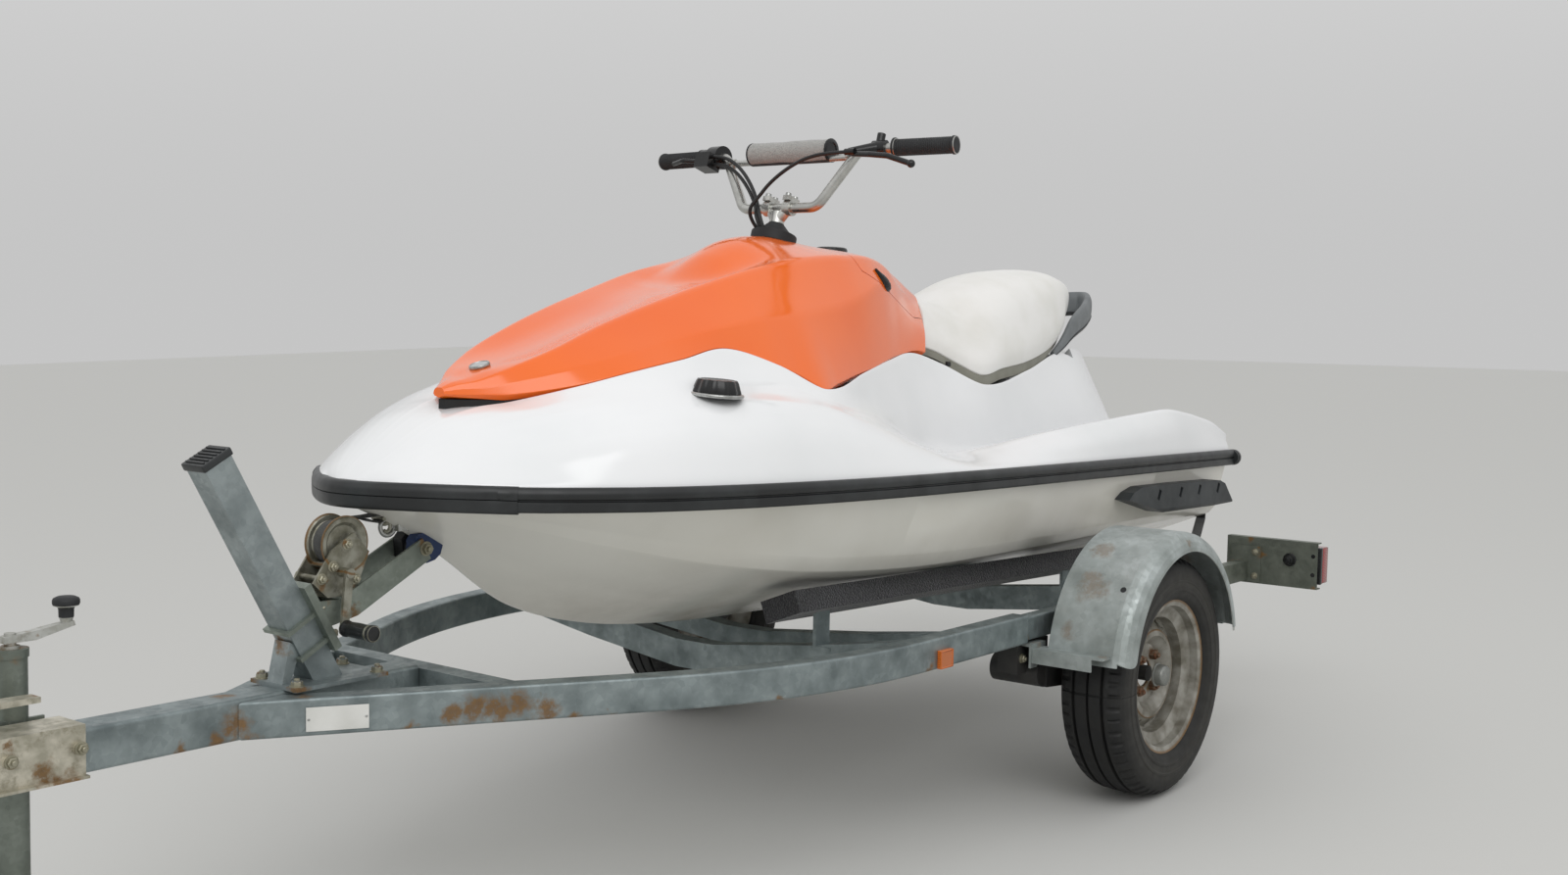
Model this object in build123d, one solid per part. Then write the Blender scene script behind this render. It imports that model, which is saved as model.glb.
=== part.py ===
from build123d import *
import math
import os

# Personal watercraft strapped on its single-axle trailer.
# Row frame in mm: +X toward the bow and the coupling, +Y port, +Z up, ground at z = 0.

os.makedirs("parts", exist_ok=True)

# Places and attitudes
AXLE_X = -709.5
WHEEL_R = 261.0
TRAILER_TILT = 1.68
CRAFT_TRIM = 3.1
TRANSOM_BACK = 930.0
RAIL_LINE_Z = 640.0

# Trailer frame: u forward of the wheel centre, v port, w above the wheel centre
RAIL_HALF = 535.5
RAIL_WIDE = 42.0
RAIL_LOW = 95.0
RAIL_TOP = 155.0
RAIL_EDGE_R = 5.0
BEND_U = 716.0
BEND_R = 1106.0
BEND_DEG = 30.84
RAIL_REAR_U = -470.0
SLEEVE_U = 328.0
BAR_HALF = 32.0
BAR_NOSE_U = 2285.0
BALL_U = 2400.0
POST_U = 1688.0
POST_LEAN = 29.0
POST_SIDE = 50.0
JACK_U = 2167.0
JACK_V = -62.0

# Wheels
TRACK_HALF = 640.0
TYRE_W = 152.0
RIM_R = 152.4
RIM_FLANGE_R = 169.5

# Craft frame: x forward of the transom, y port, z above the rub rail line
EYE_R = 12.0
STERN_EYE_Y = 345.0
RUB_HALF_H = 20.0
BOW_HALF_H = 22.0
HALF_BEAM = [(-45, 430), (320, 442), (900, 462), (1365, 474), (1700, 470), (2000, 440), (2200, 392),
             (2330, 330), (2424, 262), (2500, 164), (2550, 82), (2570, 40)]
BOW_TIP = 2577.0
BUMPER_FROM = 2424.0
SHEER_AT_STERN = 3.0
SHEER_SLOPE = -0.0047

# Steering
COLUMN_X = 1453.0
COLUMN_Z = 495.0
COLUMN_RAKE = 15.0
BAR_UP = 60.0
BAR_TOP = 192.0
COLUMN_HOLE_R = 50.0
BAR_R = 11.0
CLAMP_Y = 27.0
SHAFT_R = 16.0


def trailer(shape):
    return Pos(AXLE_X, 0, WHEEL_R) * Rot(0, -TRAILER_TILT, 0) * shape


def craft(shape):
    return Pos(AXLE_X - TRANSOM_BACK, 0, RAIL_LINE_Z) * Rot(0, -CRAFT_TRIM, 0) * shape


def steering(shape):
    # local z runs up the column axis, x forward, y port; origin where the column leaves the cowl
    return craft(Pos(COLUMN_X, 0, COLUMN_Z) * Rot(0, -COLUMN_RAKE, 0) * shape)


def block(x0, x1, y0, y1, z0, z1):
    return Pos((x0 + x1) / 2, (y0 + y1) / 2, (z0 + z1) / 2) * Box(x1 - x0, y1 - y0, z1 - z0)


def rod(a, b, r):
    a, b = Vector(*a), Vector(*b)
    d = b - a
    return Plane(origin=(a + b) * 0.5, z_dir=d) * Cylinder(r, d.length)


def pipe(points, r, bend=None):
    path = Polyline(*points) if bend is None else FilletPolyline(*points, radius=bend)
    return sweep(Plane(origin=path @ 0, z_dir=path % 0) * Circle(r), path=path)


def cord(points, r):
    # straight runs joined by arcs as large as the shorter run beside each corner allows
    pts = [Vector(*p) for p in points]
    radii = []
    for a, b, c in zip(pts, pts[1:], pts[2:]):
        half_turn = math.radians((b - a).get_angle(c - b) / 2)
        radii.append(0.45 * min((b - a).length, (c - b).length) / math.tan(half_turn))
    print("cord radii", [round(q) for q in radii])
    path = FilletPolyline(*points, radius=radii)
    return sweep(Plane(origin=path @ 0, z_dir=path % 0) * Circle(r), path=path)


def prism_y(points, y0, y1):
    # points are (x, z), the prism runs along y
    face = make_face(Polyline(*[(x, y0, z) for x, z in points], close=True))
    return extrude(face, amount=y1 - y0, dir=(0, 1, 0))


def prism_z(points, z0, z1):
    face = make_face(Polyline(*[(x, y, z0) for x, y in points], close=True))
    return extrude(face, amount=z1 - z0, dir=(0, 0, 1))


def taper(a, b, ra, rb):
    # a round bar whose radius goes from ra at a to rb at b
    a, b = Vector(*a), Vector(*b)
    d = b - a
    return Plane(origin=(a + b) * 0.5, z_dir=d) * Cone(ra, rb, d.length)


def turned(profile):
    # points are (radius, y), turned about the y axis
    return revolve(make_face(Polyline(*[(r, y, 0) for r, y in profile], close=True)), axis=Axis.Y)


def joined(shapes):
    shapes = list(shapes)
    whole = shapes[0]
    for shape in shapes[1:]:
        whole = whole + shape
    return whole


def mirrored(shape):
    return mirror(shape, about=Plane.XZ)


def section(x, half):
    # half runs from the bottom round one side to the top, both ends on the centre line or not
    ring = [(x, y, z) for y, z in half] + [(x, -y, z) for y, z in reversed(half) if y > 0]
    return make_face(Polyline(*ring, close=True))


def skin(rows, ruled=False):
    return loft([section(x, half) for x, half in rows], ruled=ruled)


def half_beam(x):
    pts = HALF_BEAM
    if x <= pts[0][0]:
        return pts[0][1]
    for (x0, b0), (x1, b1) in zip(pts, pts[1:]):
        if x <= x1:
            return b0 + (b1 - b0) * (x - x0) / (x1 - x0)
    return pts[-1][1]


def largest(shape):
    return max(shape.solids(), key=lambda s: s.volume)


def sheer(x):
    return SHEER_AT_STERN + SHEER_SLOPE * x


PARTS = {}


def keep(name, shape):
    solid = largest(shape)
    solid.label = name
    PARTS[name] = solid
    return solid


# Hull: keel, strake, chine, upper chine, rub rail line
def hull_row(x, keel, strake, chine, upper):
    return (x, [(0, keel), strake, chine, upper, (half_beam(x) - 15, sheer(x) - 1)])


HULL = [
    hull_row(-12, -286, (190, -225), (372, -150), (390, -128)),
    hull_row(350, -300, (190, -236), (376, -158), (396, -134)),
    hull_row(900, -312, (190, -247), (380, -174), (402, -148)),
    hull_row(1400, -316, (188, -249), (378, -182), (402, -152)),
    hull_row(1750, -310, (172, -242), (356, -168), (380, -138)),
    hull_row(2000, -286, (142, -216), (312, -138), (338, -110)),
    hull_row(2200, -230, (104, -168), (250, -98), (276, -76)),
    hull_row(2360, -126, (66, -96), (172, -60), (198, -48)),
    hull_row(2470, -64, (38, -54), (100, -38), (120, -31)),
    hull_row(2540, -34, (16, -30), (40, -24), (50, -21)),
]


def denser(rows, parts):
    # rows between the given ones, each point on a cubic that keeps to its neighbours
    def flat(half):
        return [c for q in half for c in q]
    xs = [row[0] for row in rows]
    ys = [flat(row[1]) for row in rows]
    slopes = []
    for i in range(len(rows)):
        a, b = max(i - 1, 0), min(i + 1, len(rows) - 1)
        slopes.append([(q - p) / (xs[b] - xs[a]) for p, q in zip(ys[a], ys[b])])
    out = []
    for i in range(len(rows) - 1):
        h = xs[i + 1] - xs[i]
        for k in range(parts):
            t = k / parts
            a = 2 * t ** 3 - 3 * t ** 2 + 1
            b = t ** 3 - 2 * t ** 2 + t
            c = 3 * t ** 2 - 2 * t ** 3
            d = t ** 3 - t ** 2
            vals = [a * p + b * h * m + c * q + d * h * n
                    for p, q, m, n in zip(ys[i], ys[i + 1], slopes[i], slopes[i + 1])]
            out.append((xs[i] + t * h, list(zip(vals[0::2], vals[1::2]))))
    out.append(rows[-1])
    return out


def build_hull():
    body = skin(denser(HULL, 2), ruled=True)
    tunnel = block(-40, 260, -105, 105, -330, -110)
    intake = block(430, 900, -82, 82, -330, -262)
    bay = block(330, 1050, -125, 125, -225, 20)
    body = body - tunnel - intake - bay
    for y in (STERN_EYE_Y, -STERN_EYE_Y):
        ring = rod((-52, y, -94.5), (-52, y, -85.5), 20) - rod((-52, y, -99), (-52, y, -81), EYE_R)
        pad = block(-37, -8, y - 14, y + 14, -94.5, -85.5) + block(-22, -8, y - 24, y + 24, -108, -72)
        body = body + ring + pad
    keep("hull", craft(body))


# Deck: outer foot, outer top, flank, crest, footwell outer, footwell inner, mid flank, rim, step, centre
def deck_row(x, flank, crest, outer, inner, mid, rim, step, centre):
    b = half_beam(x) - 15
    foot = sheer(x) - 1
    return (x, [(0, foot), (b, foot), (b - 2, foot + 24), flank, crest, outer, inner, mid, rim, step, (0, centre)])


DECK = [
    deck_row(-28, (405, 48), (404, 73), (330, 22), (190, 20), (130, 26), (80, 34), (50, 36), 37),
    deck_row(40, (404, 62), (394, 108), (330, 22), (180, 22), (112, 46), (72, 64), (48, 72), 74),
    deck_row(120, (404, 72), (388, 126), (330, 22), (186, 24), (130, 86), (84, 138), (62, 150), 156),
    deck_row(185, (406, 80), (384, 137), (330, 22), (192, 24), (146, 130), (80, 252), (62, 262), 266),
    deck_row(300, (412, 90), (379, 148), (330, 23), (198, 24), (172, 140), (108, 282), (92, 268), 262),
    deck_row(444, (416, 84), (374, 138), (330, 24), (200, 24), (184, 140), (130, 266), (112, 250), 240),
    deck_row(640, (420, 74), (370, 120), (330, 24), (204, 24), (194, 120), (166, 222), (148, 206), 192),
    deck_row(865, (422, 64), (365, 98), (328, 25), (206, 25), (200, 110), (186, 187), (168, 171), 158),
    deck_row(1000, (418, 56), (360, 80), (322, 26), (210, 26), (198, 126), (150, 232), (134, 216), 196),
    deck_row(1150, (414, 42), (352, 58), (310, 36), (226, 40), (206, 136), (164, 255), (148, 239), 212),
    deck_row(1290, (408, 36), (348, 44), (296, 50), (262, 62), (238, 130), (200, 238), (184, 222), 196),
    deck_row(1450, (420, 52), (374, 74), (334, 90), (296, 112), (270, 156), (250, 211), (234, 195), 160),
    deck_row(1670, (424, 82), (382, 125), (354, 140), (338, 152), (326, 165), (315, 177), (299, 161), 140),
    deck_row(1780, (416, 96), (376, 142), (342, 162), (318, 178), (298, 200), (279, 222), (263, 206), 180),
    deck_row(1890, (408, 102), (368, 152), (328, 167), (296, 184), (268, 214), (243, 249), (227, 234), 200),
    deck_row(2000, (394, 98), (352, 144), (312, 163), (282, 180), (256, 202), (233, 226), (217, 211), 190),
    deck_row(2100, (372, 94), (332, 135), (290, 156), (260, 172), (234, 188), (212, 203), (196, 188), 170),
    deck_row(2200, (346, 86), (306, 122), (258, 146), (222, 158), (194, 166), (170, 174), (154, 160), 150),
    deck_row(2290, (300, 76), (262, 104), (215, 126), (172, 136), (132, 141), (97, 144), (81, 134), 130),
    deck_row(2340, (268, 68), (228, 92), (184, 113), (140, 124), (104, 130), (72, 134), (44, 132), 130),
    deck_row(2400, (222, 54), (188, 74), (148, 93), (112, 104), (80, 110), (54, 113), (28, 114), 114),
    deck_row(2460, (170, 38), (144, 52), (112, 66), (84, 73), (60, 77), (40, 79), (20, 80), 80),
    deck_row(2520, (104, 18), (88, 26), (70, 32), (54, 35), (40, 37), (28, 38), (14, 38), 38),
    deck_row(2552, (52, 2), (44, 6), (34, 10), (26, 12), (20, 13), (14, 13), (8, 13), 13),
]

# Hood and cowl: edge, crease, shoulder, valley, centre
HOOD = [
    (2366, (14, 153), (13, 158), (10, 162), (5, 164), 164),
    (2345, (32, 153), (30, 162), (25, 170), (12, 174), 174),
    (2318, (62, 154), (58, 166), (48, 179), (24, 183), 183),
    (2285, (97, 156), (90, 174), (72, 196), (36, 198), 196),
    (2200, (166, 175), (148, 202), (104, 236), (52, 226), 222),
    (2100, (213, 204), (182, 232), (114, 281), (56, 263), 257),
    (2000, (230, 226), (198, 258), (124, 319), (60, 300), 293),
    (1890, (239, 249), (220, 284), (134, 356), (66, 338), 331),
    (1790, (274, 225), (232, 304), (145, 390), (74, 374), 369),
    (1730, (292, 203), (236, 313), (150, 408), (84, 400), 408),
    (1670, (311, 177), (238, 322), (154, 420), (98, 424), 461),
    (1600, (292, 187), (234, 331), (158, 430), (100, 446), 486),
    (1500, (262, 204), (224, 346), (158, 444), (98, 462), 497),
    (1400, (234, 219), (207, 370), (156, 453), (92, 468), 484),
    (1300, (204, 238), (178, 396), (143, 456), (86, 468), 472),
    (1200, (174, 252), (150, 366), (122, 438), (76, 462), 466),
    (1100, (150, 259), (128, 326), (98, 392), (66, 436), 452),
    (1000, (142, 244), (112, 300), (78, 358), (52, 400), 421),
    (930, (140, 232), (100, 280), (66, 340), (44, 376), 393),
]


def hood_row(x, edge, crease, shoulder, valley, centre):
    low = (edge[0] - 10, edge[1] - 10)
    return (x, [(0, edge[1] - 26), low, edge, crease, shoulder, valley, (0, centre)])


# Seat: base edge, mid, shoulder, top centre
SEAT = [
    (1090, (110, 258), (104, 320), (60, 390), 405),
    (1000, (128, 240), (124, 300), (70, 374), 400),
    (930, (150, 212), (150, 268), (88, 362), 393),
    (865, (176, 188), (176, 246), (112, 352), 388),
    (768, (172, 204), (180, 270), (132, 390), 428),
    (640, (164, 222), (176, 292), (138, 432), 468),
    (500, (140, 252), (164, 322), (136, 452), 486),
    (400, (112, 282), (138, 350), (120, 460), 490),
    (340, (88, 304), (106, 372), (94, 458), 488),
    (290, (66, 322), (82, 390), (74, 454), 484),
    (240, (44, 342), (58, 404), (52, 450), 478),
    (205, (24, 366), (38, 414), (34, 444), 468),
    (188, (12, 396), (22, 420), (18, 436), 450),
]
SEAM_TOP = (968.0, 398.0)
SEAM_LOW = (1068.0, 260.0)


def seam_cutter(rear):
    # everything behind or ahead of the slanting plane between the cowl and the seat
    (x0, z0), (x1, z1) = SEAM_TOP, SEAM_LOW
    dx, dz = (x0 - x1), (z0 - z1)
    top = (x0 + dx * 3, z0 + dz * 3)
    low = (x1 - dx * 3, z1 - dz * 3)
    far = -3000 if rear else 3000
    return prism_y([top, low, (far, low[1]), (far, top[1])], -600, 600)


def seat_row(x, edge, mid, shoulder, centre, lift):
    return (x, [(0, edge[1] + lift), (edge[0], edge[1] + lift), mid, shoulder, (0, centre)])


def build_deck():
    body = skin(DECK, ruled=True)
    bay = block(330, 1050, -125, 125, -60, 420)
    keep("deck", craft(body - bay))


def build_hood():
    rows = [hood_row(*row) for row in reversed(HOOD)]
    body = skin(denser(rows, 2), ruled=True) - seam_cutter(True)
    # the rear cowl is the top piece behind the latched seam, with a tongue round the steering column
    cut = prism_y([(1340, 300), (1395, 480), (1395, 700), (900, 700), (900, 300)], -400, 400)
    low = prism_y([(1080, 335), (1300, 400), (1400, 440), (1400, 200), (900, 200), (900, 335)], -400, 400)
    cowl_zone = cut - low
    tongue = block(1300, COLUMN_X + 55, -62, 62, 380, 700)
    zone = cowl_zone + tongue
    # a wide mouth for the boot, and below it the bearing bore of the steering shaft
    bore = rod((0, 0, -58), (0, 0, 120), COLUMN_HOLE_R) + rod((0, 0, -140), (0, 0, -50), SHAFT_R + 0.05)
    bore = Pos(COLUMN_X, 0, COLUMN_Z) * Rot(0, -COLUMN_RAKE, 0) * bore
    cap = Pos(1247, 0, 474) * (Cylinder(37, 12) + Pos(0, 0, 7.5) * Cone(35, 29, 3))
    cowl = (body & zone) - bore + cap
    for s in (1, -1):
        latch = Pos(1278, s * 133, 398) * Rot(s * -58, 0, 0) * Rot(0, 0, s * 35) * Box(62, 16, 18)
        latch = latch + Pos(1264, s * 140, 394) * Rot(s * -58, 0, 0) * Cylinder(11, 26)
        cowl = cowl + latch
    cowl = craft(largest(cowl))
    hood = craft(largest(body - zone - bore)) - PARTS["deck"]
    disc = craft(Pos(2275, 0, 203) * Rot(0, 20, 0) * Cylinder(19, 9))
    keep("rear_cowl", cowl - hood)
    keep("hood", hood + disc)


def build_seat():
    gap = 3.0
    rows = [seat_row(*row, 18) for row in reversed(SEAT)]
    cushion = skin(denser(rows, 2), ruled=True)
    cushion = cushion & (Pos(-gap, 0, 0) * seam_cutter(True))
    base_rows = []
    for x, edge, mid, shoulder, centre in SEAT[1:9]:
        y, z = edge
        base_rows.append((x, [(0, z + 3), (y - 5, z + 3), (y - 4, z + 20), (0, z + 20)]))
    base = skin(base_rows, ruled=True) & (Pos(-gap, 0, 0) * seam_cutter(True))
    keep("seat", craft(cushion + base))


def band(points, wide, half_h):
    # a strip of eight-sided section that follows (x, y) points at the sheer line
    rows = []
    last = len(points) - 1
    for i, (x, y) in enumerate(points):
        ax, ay = points[max(i - 1, 0)]
        bx, by = points[min(i + 1, last)]
        n = Vector(-(by - ay), bx - ax, 0).normalized()
        z = sheer(x)
        ring = []
        for out, up in ((-wide, -half_h), (-5, -half_h), (0, -half_h + 6), (0, half_h - 6), (-5, half_h), (-wide, half_h)):
            ring.append((x + n.X * out, y + n.Y * out, z + up))
        rows.append(make_face(Polyline(*ring, close=True)))
    return loft(rows, ruled=True)


def build_trim():
    # rub rails and bow bumper follow one plan curve, drawn along the sheer line
    side = [(x, half_beam(x)) for x in (-40, 320, 900, 1365, 1700, 1850, 2000, 2100, 2200, 2270, 2330, 2380,
                                        BUMPER_FROM + 6)]
    rail = band(side, 14, RUB_HALF_H)
    cap = Pos(-40, half_beam(-45) - 8, sheer(-40)) * Rot(0, 90, 0) * Cylinder(21, 16)
    rail = rail + cap
    near = [(x, half_beam(x) + 3) for x in (BUMPER_FROM, 2465, 2500, 2528, 2550, 2566)] + [(BOW_TIP, 14)]
    ring = near + [(x, -y) for x, y in reversed(near)]
    bumper = band(ring, 18, BOW_HALF_H)
    whole = craft(rail + mirrored(rail) + bumper) - PARTS["hull"] - PARTS["deck"]
    keep("rub_rail", whole)
    for side, s in (("port", 1), ("starboard", -1)):
        keep("sponson_" + side, craft(sponson(s)) - PARTS["hull"])


# Sponson: outline (x, z) of the outer face, and the four drain slots in it
SPONSON = [(639, -79), (615, -62), (569, -50), (354, -49), (114, -51), (82, -60), (25, -112), (138, -117), (432, -119)]
SPONSON_SLOTS = [(475, -73), (352, -71), (242, -70), (126, -70)]


def sponson(s):
    fin = prism_y(SPONSON, 398, 456)
    bevel = Pos(330, 456, -124) * Rot(45, 0, 0) * Box(700, 22, 22)
    fin = fin - bevel
    for x, z in SPONSON_SLOTS:
        fin = fin - Pos(x, 456, z) * Rot(0, -24, 0) * Box(13, 20, 26)
    return fin if s > 0 else mirrored(fin)


def build_deck_fittings():
    grip = loft([Pos(0, 0, 0) * RegularPolygon(43, 12), Pos(0, 0, 24) * RegularPolygon(36, 12)])
    cap = grip + Pos(0, 0, -6) * Cylinder(49, 8) + Pos(0, 0, -26) * Cylinder(44, 40)
    keep("filler_cap", craft(Pos(1995, 312, 168) * Rot(-4, 0, 0) * cap) - PARTS["deck"])
    keep("grab_handle", craft(grab_handle()) - PARTS["deck"])
    eye = Pos(2470, 0, -70) * Rot(90, 0, 0) * Torus(15, 4) + block(2430, 2458, -14, 14, -78, -50)
    keep("bow_eye", craft(eye) - PARTS["hull"])
    ring = Pos(0, 0, 2) * (Cylinder(58, 14) - Cylinder(COLUMN_HOLE_R + 0.5, 200))
    place = Pos(COLUMN_X, 0, COLUMN_Z) * Rot(0, -COLUMN_RAKE, 0)
    keep("column_grommet", craft(place * ring) - PARTS["rear_cowl"] - PARTS["hood"])


# Grab handle: x, y, z of the middle of the band, its half height and half thickness
HANDLE = [(455, 136, 252, 9, 7), (400, 133, 292, 16, 8), (340, 122, 334, 28, 9), (240, 98, 366, 32, 12),
          (150, 64, 392, 33, 13), (98, 32, 406, 33, 13)]
HANDLE_BACK = (76, 0, 409, 33, 13)


def grab_handle():
    # a moulded band with eight-sided sections, carried round behind the seat's tail
    other = [(x, -y, z, h, t) for x, y, z, h, t in reversed(HANDLE)]
    rows = HANDLE + [HANDLE_BACK] + other
    faces = []
    for i, (x, y, z, h, t) in enumerate(rows):
        before, after = rows[max(i - 1, 0)], rows[min(i + 1, len(rows) - 1)]
        n = Vector(after[1] - before[1], before[0] - after[0], 0).normalized()
        ring = []
        for out, up in ((1, 0.5), (0.45, 1), (-0.45, 1), (-1, 0.5), (-1, -0.5), (-0.45, -1), (0.45, -1), (1, -0.5)):
            ring.append((x + n.X * out * t, y + n.Y * out * t, z + up * h))
        faces.append(make_face(Polyline(*ring, close=True)))
    return loft(faces, ruled=True)


def build_drive():
    pump = rod((30, 0, -205), (250, 0, -205), 84) + block(-11, -1, -96, 96, -300, -116)
    pump = pump + rod((-1, 0, -205), (60, 0, -205), 74) - rod((-30, 0, -205), (120, 0, -205), 60)
    for z0, z1 in ((-277, -266), (-144, -133)):
        pump = pump + block(-46, -5, -16, 16, z0, z1)
    pump = pump - rod((-32, 0, -300), (-32, 0, -100), 8.05)
    pump = pump + rod((70, 0, -205), (122, 0, -205), 22) + taper((30, 0, -205), (70.5, 0, -205), 8, 22)
    for i in range(6):
        vane = Rot(60 * i, 0, 0) * Pos(96, 0, 41) * Rot(0, 0, 18) * Box(44, 4, 42)
        pump = pump + Pos(0, 0, -205) * vane
    keep("pump_housing", craft(pump))
    cone = Plane(origin=(-50, 0, -205), z_dir=(-1, 0, 0)) * Cone(50, 40, 92)
    bore = Plane(origin=(-50, 0, -205), z_dir=(-1, 0, 0)) * Cone(43, 33, 94)
    pins = rod((-32, 0, -275), (-32, 0, -250), 8) + rod((-32, 0, -160), (-32, 0, -135), 8)
    keep("steering_nozzle", craft(cone - bore + pins))
    plate = prism_z([(-70, -92), (420, -112), (420, 112), (-70, 92)], -312, -301)
    keep("ride_plate", craft(plate) - PARTS["hull"] - PARTS["pump_housing"])
    bars = None
    for y in (-48, -16, 16, 48):
        bar = block(432, 898, y - 5, y + 5, -312, -300)
        bars = bar if bars is None else bars + bar
    bars = bars + block(430, 446, -80, 80, -308, -262) + block(884, 900, -80, 80, -308, -262)
    keep("intake_grate", craft(bars) - PARTS["hull"])
    engine = block(420, 900, -95, 95, -220, -30) + block(470, 860, -60, 60, -30, 60)
    for x in (520, 640, 760):
        engine = engine + Pos(x, 0, 72) * Cylinder(18, 30)
    engine = engine + rod((380, 0, -140), (430, 0, -140), 30)
    engine = engine + joined(block(x - 15, x + 15, y - 15, y + 15, -225, -219)
                             for x in (445, 875) for y in (-75, 75))
    keep("engine", craft(engine))


def build_steering():
    boot = Pos(0, 0, 10) * Cone(44, 18, 26)
    column = rod((0, 0, -112), (0, 0, 50), SHAFT_R) + boot
    for y in (-CLAMP_Y, CLAMP_Y):
        column = column + taper((0, 0, 34), (0, y, BAR_UP), 15, 10) + rod((0, y - 9, BAR_UP), (0, y + 9, BAR_UP), 17)
        column = column + Pos(0, y, BAR_UP + 18) * Box(36, 18, 10)
        for x in (-12, 12):
            column = column + Pos(x, y, BAR_UP + 25) * Cylinder(4, 8)
    column = column - rod((0, -60, BAR_UP), (0, 60, BAR_UP), BAR_R + 0.3)
    keep("steering_column", steering(column))
    pts = [(-33, 393, BAR_TOP + 5), (-3, 182, BAR_TOP - 6), (0, 100, BAR_UP)]
    full = pts + [(x, -y, z) for x, y, z in reversed(pts)]
    bar = pipe(full, BAR_R, 34) + rod((-3, -172, 170), (-3, 172, 170), 7)
    for s in (1, -1):
        bar = bar + rod(along_grip(s, -4), along_grip(s, 132), 16.5)
        bar = bar + rod(along_grip(s, 128), along_grip(s, 134), 20) + rod(along_grip(s, -6), along_grip(s, 2), 18.5)
    keep("handlebar", steering(bar))
    pad = rod((-3, -108, 188), (-3, 108, 188), 25) - rod((-3, -130, 170), (-3, 130, 170), 7.4)
    keep("bar_pad", steering(pad))
    handlebar = PARTS["handlebar"]
    perch = rod(along_grip(1, 152), along_grip(1, 182), 17) + rod((-8, 226, 198), (-8, 226, 220), 9)
    perch = perch + taper((-6, 224, 188), (40, 188, 163), 14, 9) + rod((42, 204, 163), (42, 180, 163), 7)
    lever = pipe([(34, 190, 162), (46, 246, 153), (48, 292, 147), (42, 348, 130)], 6, 30)
    lever = lever + Pos(42, 350, 129.5) * Sphere(8.5)
    keep("bar_lever", steering(perch + lever) - handlebar)
    house = rod(along_grip(-1, 168), along_grip(-1, 202), 26) + rod(along_grip(-1, 136), along_grip(-1, 169), 21)
    house = house + Pos(16, -219, 168) * Box(42, 40, 34)
    house = house + pipe([(18, -232, 170), (40, -272, 166), (24, -312, 166)], 5, 12)
    keep("throttle_housing", steering(house) - handlebar)


def along_grip(s, run):
    # a point of the grip's axis, run mm in from the outer end of the bar on side s
    a = Vector(-33, s * 393, BAR_TOP + 5)
    b = Vector(-3, s * 182, BAR_TOP - 6)
    d = (b - a).normalized()
    return tuple(a + d * run)


# Control cables in the steering frame: two from the throttle housing, one from the lever's perch,
# down ahead of the column into the boot
CABLE_R = 4.0
CABLES = {
    "throttle_cable": [(24, -199, 178), (22, -165, 177), (24, -124, 156), (28, -88, 127), (31, -56, 92),
                       (37, -31, 57), (47, -12, 28), (33, -5, 3)],
    "return_cable": [(18, -199, 162), (20, -168, 162), (14, -132, 144), (20, -96, 116), (26, -64, 84),
                     (31, -39, 52), (42, -25, 26), (28, -17, 3)],
    "lever_cable": [(42, 180, 163), (44, 150, 162), (50, 115, 157), (52, 77, 147), (52, 36, 125), (50, 0, 98),
                    (48, -24, 68), (50, -42, 43), (32, -43, 21), (14, -31, 3)],
}


def build_cables():
    for name, route in CABLES.items():
        solid = steering(cord(route, CABLE_R))
        for other in ("steering_column", "bar_lever", "throttle_housing"):
            solid = solid - PARTS[other]
        keep(name, solid)


# Trailer frame members
def rail_plan(outer, width, u0):
    def ring(half, radius):
        a = math.radians(BEND_DEG)
        cu, cv = BEND_U, RAIL_HALF - BEND_R
        p1 = (BEND_U, half)
        pm = (cu + radius * math.sin(a / 2), cv + radius * math.cos(a / 2))
        p2 = (cu + radius * math.sin(a), cv + radius * math.cos(a))
        run = 760.0
        p3 = (p2[0] + run * math.cos(a), p2[1] - run * math.sin(a))
        return p1, pm, p2, p3
    o1, om, o2, o3 = ring(outer, BEND_R - (RAIL_HALF - outer))
    i1, im, i2, i3 = ring(outer - width, BEND_R - (RAIL_HALF - outer) - width)
    edges = [Line((u0, outer), o1), ThreePointArc(o1, om, o2), Line(o2, o3), Line(o3, i3), Line(i3, i2),
             ThreePointArc(i2, im, i1), Line(i1, (u0, outer - width)), Line((u0, outer - width), (u0, outer))]
    return make_face(Wire(edges))


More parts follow.
